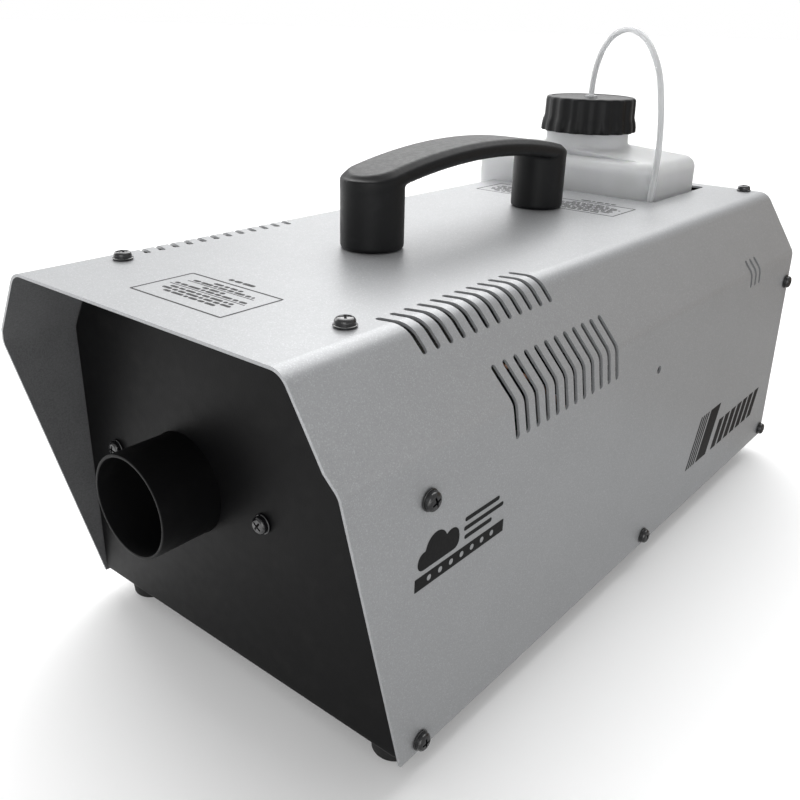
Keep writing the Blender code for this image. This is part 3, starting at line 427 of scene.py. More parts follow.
def heat_blanket():
    """Woven glass: two crossing sets of threads."""
    made = Finish("heat_blanket", sheen_weight=0.3)
    warp = made.node("ShaderNodeTexWave", {"bands_direction": "X"}, {"Vector": made.place, "Scale": 110.0,
                                                                     "Distortion": 0.6}, output="Fac")
    weft = made.node("ShaderNodeTexWave", {"bands_direction": "Y"}, {"Vector": made.place, "Scale": 110.0,
                                                                     "Distortion": 0.6}, output="Fac")
    weave = warp * weft
    made.colour(made.ramp(weave, (0.0, (0.42, 0.39, 0.32)), (0.7, (0.76, 0.73, 0.65))))
    made.roughness(0.75 + 0.2 * made.noise(4, 3))
    made.bump(weave, 0.3)
    return made.material


def ivory_plastic():
    made = Finish("ivory_plastic", specular_ior_level=0.5)
    made.colour(made.ramp(made.noise(9, 4), (0.2, (0.60, 0.57, 0.49)), (0.8, (0.74, 0.72, 0.65))))
    made.roughness(0.38 + 0.2 * made.noise(3, 3))
    made.bump(made.noise(0.5, 2), 0.04)
    return made.material


def circuit_green():
    """Solder mask over copper tracks that run along and across the board."""
    made = Finish("circuit_green", specular_ior_level=0.6)
    tracks = made.node("ShaderNodeTexBrick", {"offset": 0.35},
                       {"Vector": made.place, "Scale": 60.0, "Mortar Size": 0.02, "Color1": rgb(0, 0, 0),
                        "Color2": rgb(0, 0, 0), "Mortar": rgb(1, 1, 1)}, output="Fac")
    made.colour(made.blend(tracks, rgb(0.012, 0.10, 0.045), rgb(0.03, 0.19, 0.09)))
    made.roughness(0.25 + 0.2 * made.noise(4, 3))
    made.bump(tracks * 0.6 + made.noise(2, 2) * 0.2, 0.05)
    return made.material


def floor_paper():
    made = Finish("floor_paper", specular_ior_level=0.2, emission_strength=FLOOR_GLOW)
    made.shader.inputs["Emission Color"].default_value = (1, 1, 1, 1)
    made.colour(made.ramp(made.noise(400, 3), (0.3, (0.86, 0.86, 0.86)), (0.7, (0.89, 0.89, 0.89))))
    made.roughness(0.75 + 0.1 * made.noise(60, 2))
    return made.material


POWDER_GREY = powder_grey()
# painted shade for the inside of the hood
HOOD_PAINTED_SHADE = hood_painted_shade()
SATIN_BLACK = satin_black()
BLACK_PLASTIC = black_plastic()
BLACK_ZINC = black_zinc()
STEEL = bare_metal("bare_steel", (0.42, 0.42, 0.43), (0.62, 0.62, 0.63), 0.26)
ALUMINIUM = bare_metal("cast_aluminium", (0.56, 0.56, 0.57), (0.74, 0.74, 0.75), 0.38, (1, 1, 1))
BRASS = bare_metal("turned_brass", (0.52, 0.36, 0.13), (0.78, 0.60, 0.28), 0.22)
COPPER = bare_metal("drawn_copper", (0.55, 0.26, 0.15), (0.82, 0.47, 0.31), 0.24)
RUBBER = rubber()
BOTTLE_PLASTIC = bottle_plastic()
CLEAR_HOSE = clear_hose()
INK = ink()
HEAT_BLANKET = heat_blanket()
IVORY_PLASTIC = ivory_plastic()
CIRCUIT_GREEN = circuit_green()


# --- mesh tools ------------------------------------------------------------------------

def coat(mesh, finish):
    mesh.materials.clear()
    mesh.materials.append(finish)


def piece(name, mesh, body, slot, finish, *nodes, sharp=35, place=None):
    """A finished mesh that rides on a body and stands for CAD nodes."""
    made = shown(name, mesh)
    if place is not None:
        made.matrix_world = place
    if finish is not None:
        coat(mesh, finish)
    if sharp is not None:
        mesh.shade_smooth()
        mesh.set_sharp_from_angle(angle=radians(sharp))
    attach(made, body)
    if nodes:
        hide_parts(*nodes)
    return made


def mesh_from(name, build):
    """The mesh that build() leaves in an empty shape, its faces turned outwards."""
    made = bpy.data.meshes.new(name)
    shape = bmesh.new()
    build(shape)
    bmesh.ops.recalc_face_normals(shape, faces=shape.faces)
    shape.to_mesh(made)
    shape.free()
    return made


def settled(source, *steps):
    """The mesh that modifiers make of another mesh; a step is a modifier's type and its settings."""
    holder = shown("work", source)
    for kind, settings in steps:
        step = holder.modifiers.new(kind, kind)
        for name, value in settings.items():
            setattr(step, name, value)
    seen = holder.evaluated_get(bpy.context.evaluated_depsgraph_get())
    mesh = bpy.data.meshes.new_from_object(seen)
    bpy.data.objects.remove(holder)
    return mesh


def less(mesh, tool, operation="DIFFERENCE"):
    """One mesh cut by another, or joined with it."""
    holder = shown("tool", tool)
    made = settled(mesh, ("BOOLEAN", {"operation": operation, "object": holder, "solver": "EXACT"}))
    bpy.data.objects.remove(holder)
    return made


def chamfered(mesh, width, segments=2, angle=30):
    return settled(mesh, ("BEVEL", {"width": width * MM, "segments": segments, "limit_method": "ANGLE",
                                    "angle_limit": radians(angle), "use_clamp_overlap": True}))


def joined(name, meshes):
    def build(shape):
        for mesh in meshes:
            shape.from_mesh(mesh)
    return mesh_from(name, build)


def lathe(name, profile, sides=64):
    """A turned solid: (radius, height) points in mm, down the outer side."""
    def build(shape):
        rings = []
        for r, z in profile:
            if r < 1e-6:
                rings.append([shape.verts.new((0, 0, z * MM))])
            else:
                turns = [tau * i / sides for i in range(sides)]
                rings.append([shape.verts.new((r * MM * cos(turn), r * MM * sin(turn), z * MM))
                              for turn in turns])
        for high, low in zip(rings, rings[1:]):
            for i in range(sides):
                j = (i + 1) % sides
                corners = [high[i % len(high)], low[i % len(low)], low[j % len(low)], high[j % len(high)]]
                corners = list(dict.fromkeys(corners))
                if len(corners) > 2:
                    shape.faces.new(corners)
        bmesh.ops.remove_doubles(shape, verts=shape.verts, dist=1e-7)
    return mesh_from(name, build)


def arc(centre, radius, start, end, steps):
    """Points on an arc in mm, angles in degrees."""
    return [(centre[0] + radius * cos(radians(start + (end - start) * i / steps)),
             centre[1] + radius * sin(radians(start + (end - start) * i / steps))) for i in range(steps + 1)]


def circle(centre, radius, steps=32):
    return arc(centre, radius, 0, 360 - 360 / steps, steps - 1)


def rounded_box(centre, size, radius, steps=6):
    """Outline of a rectangle with round corners."""
    half_x, half_y = size[0] / 2 - radius, size[1] / 2 - radius
    line = []
    for turn, (sx, sy) in enumerate(((1, 1), (-1, 1), (-1, -1), (1, -1))):
        middle = (centre[0] + sx * half_x, centre[1] + sy * half_y)
        line += arc(middle, radius, turn * 90, turn * 90 + 90, steps)
    return line


def plate(name, loops, thickness=0.0):
    """A flat piece in XY filled between outlines in mm, centred on its plane."""
    flat = bpy.data.curves.new(name, "CURVE")
    flat.dimensions = "2D"
    flat.fill_mode = "BOTH"
    flat.extrude = thickness * MM / 2
    for loop in loops:
        line = flat.splines.new("POLY")
        line.points.add(len(loop) - 1)
        for point, (u, v) in zip(line.points, loop):
            point.co = (u * MM, v * MM, 0, 1)
        line.use_cyclic_u = True
    holder = shown(name, flat)
    seen = holder.evaluated_get(bpy.context.evaluated_depsgraph_get())
    mesh = bpy.data.meshes.new_from_object(seen)
    bpy.data.objects.remove(holder)

    def build(shape):
        shape.from_mesh(mesh)
        bmesh.ops.remove_doubles(shape, verts=shape.verts, dist=1e-6)
    return mesh_from(name, build)


STAND = Matrix.Rotation(pi / 2, 4, "X")           # a plate in XY stands in XZ, its face towards -Y
FACE_RIGHT = Matrix(((0, 0, 1, 0), (1, 0, 0, 0), (0, 1, 0, 0), (0, 0, 0, 1)))      # XY to YZ, facing +X


# --- cover -----------------------------------------------------------------------------

SLANT = atan((TOP_Z - SHOULDER_Z) / (HALF_SIDE - HALF_TOP))       # the slanted face falls this steeply
SHOULDER_TURN = pi / 2 - SLANT
SLANT_RUN = (TOP_Z - SHOULDER_Z) / sin(SLANT)
TOP_TANGENT = TOP_BEND * tan(SLANT / 2)
SHOULDER_TANGENT = SHOULDER_BEND * tan(SHOULDER_TURN / 2)
COVER_RUNS = [        # flat length, then the bend after it: radius and angle
    (HALF_TOP - TOP_TANGENT, TOP_BEND, SLANT),
    (SLANT_RUN - TOP_TANGENT - SHOULDER_TANGENT, SHOULDER_BEND, SHOULDER_TURN),
    (SHOULDER_Z - SHOULDER_TANGENT, 0.0, 0.0),
]
HALF_PATTERN = sum(flat + radius * turn for flat, radius, turn in COVER_RUNS)


def fold(s):
    """x, z and outward normal of the cover's outer face, s mm round from the middle of its top."""
    x, z, heading, rest = 0.0, TOP_Z, 0.0, abs(s)
    for flat, radius, turn in COVER_RUNS:
        straight = min(rest, flat)
        x += straight * cos(heading)
        z -= straight * sin(heading)
        rest -= straight
        swing = min(rest / radius, turn) if radius else 0.0
        x += radius * (sin(heading + swing) - sin(heading))
        z -= radius * (cos(heading) - cos(heading + swing))
        heading += swing
        rest -= radius * swing
        if rest <= 1e-9:
            break
    side = 1 if s >= 0 else -1
    return side * x, z, side * sin(heading), cos(heading)


def reach(height):
    """How far round from the middle of the top the cover comes down to a height."""
    low, high = 0.0, HALF_PATTERN
    for _ in range(40):
        middle = (low + high) / 2
        if fold(middle)[1] > height:
            low = middle
        else:
            high = middle
    return low


BEND_MIDDLES = (COVER_RUNS[0][0] + TOP_BEND * SLANT / 2,
                HALF_PATTERN - COVER_RUNS[2][0] - SHOULDER_BEND * SHOULDER_TURN / 2)


def bend_stations():
    """Every fold line of the pattern, on the right half."""
    start = 0.0
    lines = []
    for flat, radius, turn in COVER_RUNS:
        start += flat
        if radius:
            lines += [start + radius * turn * i / BEND_STEPS for i in range(BEND_STEPS + 1)]
            start += radius * turn
    return lines


def slot_outline(s, y, run_s, run_y):
    """A round-ended slot in the pattern, run_s by run_y mm between its ends."""
    length = sqrt(run_s ** 2 + run_y ** 2)
    turn = atan(run_y / run_s)
    half = (length - SLOT_WIDTH) / 2
    ends = arc((half, 0), SLOT_WIDTH / 2, -90, 90, 8) + arc((-half, 0), SLOT_WIDTH / 2, 90, 270, 8)
    return [(s + u * cos(turn) - v * sin(turn), y + u * sin(turn) + v * cos(turn)) for u, v in ends]


def pattern_place(name):
    """Where the middle of a node on the cover lies in the cover's pattern: s and y in mm."""
    spot = node_span(name)[2]
    y = (spot.y - COVER_LOW.y) / MM
    height = (spot.z - COVER_LOW.z) / MM
    side = 1 if spot.x >= 0 else -1
    if name.startswith("top"):
        return spot.x / MM, y
    return side * reach(height), y


def cover_pattern():
    """Outlines of the flat sheet: its rim, the bottle's cut-out, the slots and the screw holes."""
    hood = reach(HOOD_CORNER_Z)
    right = sorted(bend_stations() + [hood, HALF_PATTERN])
    stations = [-s for s in reversed(right)] + right
    front, rear = [], []
    for s in stations:
        z = fold(s)[1]
        front.append((s, max(0.0, PANEL_Y * (HOOD_CORNER_Z - z) / HOOD_CORNER_Z)))
        rear.append((s, TOP_LENGTH + REAR_SLOPE * (TOP_Z - z)))
    loops = [front + rear[::-1]]

    left = -reach(CUTOUT_LEFT_Z)
    middle = ((left + CUTOUT_RIGHT) / 2, sum(CUTOUT_Y) / 2)
    loops.append(rounded_box(middle, (CUTOUT_RIGHT - left, CUTOUT_Y[1] - CUTOUT_Y[0]), CUTOUT_CORNER))

    rows = [  # sides, bend, first slot's middle, count, pitch, run round the bend, run along
        ((-1, 1), 0, 56.9, 12, 7.4, 22.2, 5.6),
        ((-1, 1), 1, 94.2, 12, 7.3, 31.9, 8.6),
        ((1,), 1, 341.2, 3, 6.7, 16.9, 4.5),
    ]
    for sides, bend, first, count, pitch, run_s, run_y in rows:
        for side in sides:
            for index in range(count):
                loops.append(slot_outline(side * BEND_MIDDLES[bend], first + pitch * index, run_s,
                                          side * run_y))
    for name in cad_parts:
        if name.startswith(("top_screw", "side_screw")):
            loops.append(circle(pattern_place(name), SCREW_HOLE_R, 16))
    hole_y, hole_z, hole_r = BRACKET_HOLE
    for side in (-1, 1):
        loops.append(circle((side * reach(hole_z), hole_y), hole_r, 16))
    for name in ("handle_screw_front", "handle_screw_rear"):
        spot = node_span(name)[2]
        loops.append(circle((spot.x / MM, (spot.y - COVER_LOW.y) / MM), HANDLE_HOLE_R, 16))
    return loops


def cover():
    """The sheet folded from its pattern, with true normals round every bend."""
    flat = plate("cover_pattern", cover_pattern())
    shape = bmesh.new()
    shape.from_mesh(flat)
    for side in (-1, 1):
        for s in bend_stations():
            every = shape.verts[:] + shape.edges[:] + shape.faces[:]
            bmesh.ops.bisect_plane(shape, geom=every, dist=1e-7, plane_co=(side * s * MM, 0, 0),
                                   plane_no=(1, 0, 0))
    for face in shape.faces:
        if face.normal.z < 0:
            face.normal_flip()
    shape.verts.index_update()
    outer, inner, normals = [], [], []
    for vert in shape.verts:
        x, z, nx, nz = fold(vert.co.x / MM)
        y = vert.co.y / MM
        outer.append(at(x, y, z))
        inner.append(at(x - nx * SHEET, y, z - nz * SHEET))
        normals.append(Vector((nx, 0, nz)))
    count = len(outer)
    faces = [[v.index for v in face.verts] for face in shape.faces]
    skin = len(faces)
    faces += [[i + count for i in reversed(face)] for face in faces]
    for edge in shape.edges:
        if len(edge.link_faces) == 1:
            loop = edge.link_loops[0]
            a, b = loop.vert.index, loop.link_loop_next.vert.index
            faces.append([b, a, a + count, b + count])
    shape.free()

    mesh = bpy.data.meshes.new("cover_sheet")
    mesh.from_pydata(outer + inner, [], faces)
    mesh.materials.append(POWDER_GREY)
    # the inner faces take the darkened coat that paints the shade inside the hood
    mesh.materials.append(HOOD_PAINTED_SHADE)
    custom = []
    for polygon in mesh.polygons:
        polygon.use_smooth = True
        polygon.material_index = 1 if skin <= polygon.index < 2 * skin else 0
        for index in polygon.vertices:
            if polygon.index < skin:
                custom.append(normals[index])
            elif polygon.index < 2 * skin:
                custom.append(-normals[index - count])
            else:
                custom.append(polygon.normal.copy())
    mesh.normals_split_custom_set(custom)
    return piece("cover_sheet", mesh, "machine", "powder_grey", None, "cover", sharp=None)


# --- printed marks ---------------------------------------------------------------------

INK_THICK = 0.05
FRAME_LINE = 0.8


def frame_outline(centre, size):
    """Two outlines that leave a thin frame between them."""
    inside = (size[0] - 2 * FRAME_LINE, size[1] - 2 * FRAME_LINE)
    return [rounded_box(centre, size, 0.8, 3), rounded_box(centre, inside, 0.4, 3)]


def bar(x, y, length, thick):
    return rounded_box((x, y), (length, thick), min(thick, length) * 0.45, 3)


RUN_LENGTHS = (5.2, 2.6, 3.8, 6.4, 2.0, 4.4, 3.1)


def broken_row(x, y, length, thick, first):
    """A row of short bars with gaps, centred on x, as a line of print reads from afar."""
    bars = []
    start = x - length / 2
    index = first
    while start < x + length / 2 - 1.0:
        run = min(RUN_LENGTHS[index % len(RUN_LENGTHS)], x + length / 2 - start)
        bars.append(bar(start + run / 2, y, run, thick))
        start += run + 0.75
        index += 1
    return bars


def ruled_box(centre, size, rows):
    """A framed box of rows, each its height from the middle, length and thickness; a thin row is one line."""
    loops = frame_outline(centre, size)
    for index, (dy, length, thick) in enumerate(rows):
        if thick < 0.5:
            loops.append(bar(centre[0], centre[1] + dy, length, thick))
        else:
            loops += broken_row(centre[0], centre[1] + dy, length, thick, index * 2)
    return loops


def cloud_outline(x, y):
    """A puff of fog: three round lobes over a flat base."""
    lobes = [(-9.0, 3.6, 3.6), (-2.2, 6.2, 6.2), (6.6, 4.7, 4.7)]
    line = []
    steps = 60
    left, right = -12.6, 11.3
    for i in range(steps + 1):
        u = left + (right - left) * i / steps
        tops = [cy + sqrt(max(r * r - (u - cx) ** 2, 0)) for cx, cy, r in lobes if abs(u - cx) <= r]
        line.append((x + u, y + max(tops, default=3.6)))
    ends = arc((x + right - 3.2, y + 3.2), 3.2, 0, -90, 5) + arc((x + left + 3.2, y + 3.2), 3.2, -90, -180, 5)
    return line + ends


def side_mark():
    """A fog puff with streaks over a solid bar that holds a row of dots."""
    loops = [cloud_outline(52.0, 83.0)]
    for row, (start, end) in enumerate(((66.5, 84.0), (66.0, 91.5), (66.5, 88.5))):
        loops.append(bar((start + end) / 2, 84.8 + row * 3.7, end - start, 1.8))
    loops.append(rounded_box((65.3, 78.4), (54.4, 5.4), 0.3, 2))
    for index in range(7):
        loops.append(circle((46.1 + index * 6.4, 78.4), 1.2, 20))
    return loops


def rear_mark():
    """Leaning stripes: four thin and one broad, and then a lower row."""
    lean = 0.42
    loops = []

    def stripe(y, z, width, height):
        drift = lean * height
        return [(y, z), (y + width, z), (y + width + drift, z + height), (y + drift, z + height)]
    for index in range(4):
        loops.append(stripe(287.0 + index * 3.4, 24.0, 1.9, 29.5))
    loops.append(stripe(301.5, 24.0, 15.0, 29.5))
    for index in range(7):
        loops.append(stripe(324.0 + index * 10.2, 24.0, 7.4, 17.5))
    return loops


def printed_marks():
    """Plain marks with no lettering, on the top and on both sides."""
    rows = [(10.6, 16, 1.5), (8.2, 34, 1.5), (6.5, 37, 0.4), (4.4, 14, 1.5), (2.0, 40, 1.5), (0.2, 42, 0.4),
            (-2.0, 35, 1.5), (-4.5, 38, 1.5), (-7.0, 30, 1.5)]
    front = ruled_box((0.4, 32.9), (51.5, 29.2), rows) + broken_row(-0.4, 51.0, 15.0, 1.9, 1)
    rear_rows = [(9.0, 24, 1.6), (5.8, 38, 1.6), (2.8, 42, 1.6), (-0.2, 36, 1.6), (-3.2, 41, 1.6),
                 (-6.2, 38, 1.6), (-9.2, 28, 1.6)]
    far_rows = [(dy, length * 0.85, thick) for dy, length, thick in rear_rows]
    rear = ruled_box((16.0, 284.5), (50.0, 28.0), rear_rows) + broken_row(16.0, 302.0, 22.0, 1.9, 3)
    far = ruled_box((-37.0, 301.0), (44.0, 28.0), far_rows)
    rest = at(0, 0, TOP_Z + INK_THICK / 2 + 0.01)
    for name, loops in (("label_front", front), ("label_rear", rear), ("label_rear_left", far)):
        mesh = plate(name, loops, INK_THICK)
        mesh.transform(Matrix.Translation(rest))
        piece(name, mesh, "machine", "powder_grey", INK)
    out = (HALF_SIDE + INK_THICK / 2 + 0.01) * MM
    for side, turn in (("right", 1), ("left", -1)):
        for name, loops in (("mark_puff", side_mark()), ("mark_stripes", rear_mark())):
            mesh = plate(f"{name}_{side}", loops, INK_THICK)
            mesh.transform(Matrix.Translation((turn * out, COVER_LOW.y, COVER_LOW.z)) @ FACE_RIGHT)
            piece(f"{name}_{side}", mesh, "machine", "powder_grey", INK)


# --- panels ----------------------------------------------------------------------------

def rounded_line(points, radii, steps):
    """A closed outline in mm with each corner turned into an arc."""
    line = []
    count = len(points)
    for index, (corner, radius) in enumerate(zip(points, radii)):
        corner = Vector(corner)
        before = (Vector(points[index - 1]) - corner).normalized()
        after = (Vector(points[(index + 1) % count]) - corner).normalized()
        half = before.angle(after) / 2
        middle = corner + (before + after).normalized() * (radius / sin(half))
        start = corner + before * (radius / tan(half)) - middle
        end = corner + after * (radius / tan(half)) - middle
        sweep = start.angle(end)
        for step in range(steps + 1):
            share = step / steps
            blend = (start * sin((1 - share) * sweep) + end * sin(share * sweep)) / sin(sweep)
            line.append(tuple(middle + blend))
    return line


def panel_outline(inset, bottom):
    """The cover's inside outline, drawn in by inset mm."""
    slope = (HALF_SIDE - HALF_TOP) / (TOP_Z - SHOULDER_Z)
    sideways = inset / cos(atan(slope))
    side = HALF_SIDE - inset
    shoulder = SHOULDER_Z - (sideways - inset) / slope
    top = TOP_Z - inset
    half_top = HALF_TOP - sideways + slope * inset
    points = [(-side, bottom), (-side, shoulder), (-half_top, top),
              (half_top, top), (side, shoulder), (side, bottom)]
    bottom_r = max(3.0 + SHEET + GAP - inset, 0.8)
    bends = [SHOULDER_BEND - inset, TOP_BEND - inset]
    radii = [bottom_r] + bends + bends[::-1] + [bottom_r]
    return rounded_line(points, radii, 8)


def panel_mesh(name, holes, depth, rim_r=1.6):
    """A pressed panel facing -Y at y 0: a flat face with holes and a rim turned back all round."""
    base = SHEET + GAP

    def outline(inset):
        return panel_outline(base + inset, 1.8 + inset)
    face = plate(name, [outline(rim_r)] + holes, SHEET)
    face.transform(Matrix.Translation((0, SHEET * MM / 2, 0)) @ STAND)
    inner_r = rim_r - SHEET
    quarter = [radians(a) for a in (0, 18, 36, 54, 72, 90)]
    profile = [(rim_r - rim_r * sin(a), rim_r - rim_r * cos(a)) for a in quarter]
    profile += [(0.0, depth), (SHEET, depth)]
    profile += [(rim_r - inner_r * sin(a), rim_r - inner_r * cos(a)) for a in reversed(quarter)]

    def build(shape):
        shape.from_mesh(face)
        edge = {(round(x, 3), round(z, 3)) for x, z in outline(rim_r)}

        def on_edge(vert):
            return (round(vert.co.x / MM, 3), round(vert.co.z / MM, 3)) in edge
        wall = [f for f in shape.faces if all(on_edge(v) for v in f.verts) and abs(f.normal.y) < 0.5]
        bmesh.ops.delete(shape, geom=wall, context="FACES")
        rings = [[shape.verts.new(Vector((x, y, z)) * MM) for x, z in outline(inset)] for inset, y in profile]
        count = len(rings[0])
        for first, second in zip(rings, rings[1:]):
            for i in range(count):
                j = (i + 1) % count
                shape.faces.new((first[i], first[j], second[j], second[i]))
        bmesh.ops.remove_doubles(shape, verts=shape.verts, dist=2e-6)
    return mesh_from(name, build)


def flat_place(name):
    """x and z of a node's middle, in mm from the cover's middle and bottom edge."""
    spot = node_span(name)[2]
    return spot.x / MM, (spot.z - COVER_LOW.z) / MM


def front_panel():
    nozzle = flat_place("nozzle_shroud")
    holes = [circle(nozzle, NOZZLE_R + GAP, 72)]
    for name in ("outlet_screw_left", "outlet_screw_right"):
        holes.append(circle(flat_place(name), SCREW_HOLE_R, 20))
    mesh = panel_mesh("outlet_panel", holes, FRONT_RIM)
    mesh.transform(Matrix.Translation(at(0, PANEL_Y, 0)))
    piece("outlet_panel", mesh, "machine", "satin_black_metal", SATIN_BLACK, "front_panel", sharp=25)


REAR_TILT = atan(REAR_SLOPE)
REAR_PLACES = {"mains_inlet": (-46.0, 33.0), "fuse_holder": (-10.0, 33.0), "remote_socket": (22.0, 33.0),
               "rocker_bezel": (60.0, 33.0)}


def rear_matrix(x, z):
    """Stands a plate or a turned piece, made along +Z, on the rear panel at a place."""
    spot = at(x, REAR_FACE + REAR_SLOPE * (TOP_Z - z), z)
    return Matrix.Translation(spot) @ Matrix.Rotation(REAR_TILT - pi / 2, 4, "X")


def rear_panel():
    holes = [rounded_box(REAR_PLACES["mains_inlet"], (28.0, 20.6), 0.6, 3),
             circle(REAR_PLACES["fuse_holder"], 6.4),
             circle(REAR_PLACES["remote_socket"], 8.3),
             rounded_box(REAR_PLACES["rocker_bezel"], (13.4, 19.6), 0.6, 3)]
    holes = [[(-x, z) for x, z in loop] for loop in holes]
    mesh = panel_mesh("back_panel", holes, REAR_RIM)
    lean = Matrix.Identity(4)
    lean[1][2] = -REAR_SLOPE
    turn = Matrix.Rotation(pi, 4, "Z")
    place = at(0, REAR_FACE + REAR_SLOPE * TOP_Z, 0)
    mesh.transform(Matrix.Translation(place) @ lean @ turn)
    piece("back_panel", mesh, "machine", "satin_black_metal", SATIN_BLACK, "rear_panel", sharp=25)


# --- handle ----------------------------------------------------------------------------

def handle():
    """An arch on two round posts, moulded in one with soft edges."""
    low, high, middle = node_span("handle")
    centre_x = middle.x / MM
    posts = ((low.y - COVER_LOW.y) / MM + POST_R, (high.y - COVER_LOW.y) / MM - POST_R)
    middle_y = sum(posts) / 2
    crown = (high.z - COVER_LOW.z) / MM

    def arch(y, level):
        return level - GRIP_RADIUS + sqrt(GRIP_RADIUS ** 2 - (y - middle_y) ** 2)

    def half_width(y, inset):
        past = max(posts[0] - y, y - posts[1], 0)
        return sqrt(max((POST_R - inset) ** 2 - past ** 2, 0))

    def stations(inset):
        reach_r = POST_R - inset
        ends = [posts[0] - reach_r * cos(pi * i / 32) for i in range(16)]
        spans = [posts[0] + (posts[1] - posts[0]) * i / 48 for i in range(49)]
        return ends + spans + [sum(posts) - y for y in reversed(ends)]

    def build(shape):
        layers = [(GRIP_CHAMFER, crown), (0.3, crown - GRIP_CHAMFER * 0.8 + 0.2), (0, crown - GRIP_CHAMFER),
                  (0, crown - GRIP_THICK + 2), (2, crown - GRIP_THICK)]
        loops = []
        for inset, level in layers:
            rows = stations(inset)
            left, right = [[shape.verts.new(at(centre_x + side * half_width(y, inset), y, arch(y, level)))
                            for y in part] for side, part in ((-1, rows), (1, rows[1:-1]))]
            loops.append(left + right[::-1])
        count = len(loops[0])
        for upper, under in zip(loops, loops[1:]):
            for i in range(count):
                j = (i + 1) % count
                shape.faces.new((upper[i], upper[j], under[j], under[i]))
        for loop in (loops[0], loops[-1]):
            for i in range(count // 2):
                corners = [loop[i], loop[i + 1], loop[-(i + 1)], loop[-i] if i else loop[0]]
                shape.faces.new(list(dict.fromkeys(corners)))
    mesh = mesh_from("grip", build)
    foot = (low.z - COVER_LOW.z) / MM
    for y in posts:
        top = arch(y, crown) - GRIP_CHAMFER - 0.6 - foot
        post = lathe("post", [(0, top), (POST_R - 0.1, top), (POST_R - 0.1, 3.0), (POST_R - 0.1, 0.8),
                              (POST_R - 0.9, 0), (0, 0)], 96)
        post.transform(Matrix.Translation(at(centre_x, y, foot)))
        mesh = less(mesh, post, "UNION")
    mesh = settled(mesh, ("REMESH", {"mode": "VOXEL", "voxel_size": 0.65 * MM, "use_smooth_shade": True}),
                   ("SMOOTH", {"factor": 0.5, "iterations": 5}))
    piece("carry_handle", mesh, "machine", "black_plastic", BLACK_PLASTIC, "handle", sharp=60)


# --- bottle and cap --------------------------------------------------------------------

def bottle_ring(half_x, half_y, radius, z, shift_y):
    """Points round a rounded rectangle; a circle where radius equals both halves."""
    ring = []
    steps = 14
    for turn, (sx, sy) in enumerate(((1, 1), (-1, 1), (-1, -1), (1, -1))):
        for step in range(steps):
            angle = turn * pi / 2 + (step + 0.5) * pi / 2 / steps
            x = sx * (half_x - radius) + radius * cos(angle)
            y = sy * (half_y - radius) + radius * sin(angle)
            ring.append(Vector((x, y + shift_y, z)) * MM)
    return ring


def loft(name, rings, closed=True):
    """Rings joined in turn, each with the same number of points."""
    def build(shape):
        loops = [[shape.verts.new(p) for p in ring] for ring in rings]
        for low, high in zip(loops, loops[1:]):
            for i in range(len(low)):
                j = (i + 1) % len(low)
                shape.faces.new((low[i], low[j], high[j], high[i]))
        if closed:
            shape.faces.new(list(reversed(loops[0])))
            shape.faces.new(loops[-1])
        else:
            bmesh.ops.remove_doubles(shape, verts=shape.verts, dist=1e-6)
    return mesh_from(name, build)


def bottle_rings(half_x, half_y, wall, mouth, neck_y):
    """Rings up the bottle's side, over its shoulder and up its neck, drawn in by wall mm."""
    corner = BOTTLE_CORNER - wall
    rings = []
    foot_r = 4.5
    for step in range(7):
        angle = step * pi / 12
        inset = wall + foot_r * (1 - sin(angle))
        rings.append((half_x - inset, half_y - inset, max(corner - foot_r * (1 - sin(angle)), 3),
                      wall + foot_r * (1 - cos(angle)), 0))
    for z in (0.25, 0.5, 0.75):
        rings.append((half_x - wall, half_y - wall, corner, BOTTLE_WALL_TOP * z, 0))
    for step in range(9):
        angle = step * pi / 16
        inset = wall + (BOTTLE_ROUND - wall * 0.5) * (1 - cos(angle))
        rings.append((half_x - inset, half_y - inset, max(corner - inset + wall, 4),
                      BOTTLE_WALL_TOP - wall * 0.5 + (BOTTLE_ROUND - wall * 0.5) * sin(angle), 0))
    last = rings[-1]
    neck = NECK_R - wall
    root = (neck + 3.2, neck + 3.2, neck + 3.2, mouth - NECK_HEIGHT + 0.4 - wall, neck_y)
    for step in range(1, 7):
        share = step / 6
        rings.append(tuple(a + (b - a) * share for a, b in zip(last, root)))
    for step in range(1, 6):
        angle = step * pi / 10
        radius = neck + 3.2 * (1 - sin(angle))
        rings.append((radius, radius, radius, root[3] + 3.2 * (1 - cos(angle)), neck_y))
    rings.append((neck, neck, neck, mouth - 15.5, neck_y))
    if not wall:
        for grow, z in ((1.0, 14.8), (1.0, 13.4), (0.0, 12.8)):
            rings.append((neck + grow, neck + grow, neck + grow, mouth - z, neck_y))
    rings.append((neck, neck, neck, mouth - 0.5, neck_y))
    rings.append((neck - 0.3, neck - 0.3, neck - 0.3, mouth, neck_y) if not wall
                 else (neck + 0.3, neck + 0.3, neck + 0.3, mouth, neck_y))
    return rings


def bottle():
    low, high, middle = node_span("bottle")
    half_x, half_y = (high.x - low.x) / 2 / MM, (high.y - low.y) / 2 / MM
    mouth = (high.z - low.z) / MM
    neck_y = (at(0, CAP_Y, 0).y - middle.y) / MM
    outside = bottle_rings(half_x, half_y, 0.0, mouth, neck_y)
    inside = bottle_rings(half_x, half_y, BOTTLE_WALL, mouth, neck_y)
    rings = [bottle_ring(*r) for r in outside] + [bottle_ring(*r) for r in reversed(inside)]
    mesh = loft("fluid_bottle", rings)
    mesh.transform(Matrix.Translation((middle.x, middle.y, low.z)))
    piece("fluid_bottle", mesh, "bottle", "bottle_plastic", BOTTLE_PLASTIC, "bottle", sharp=50)


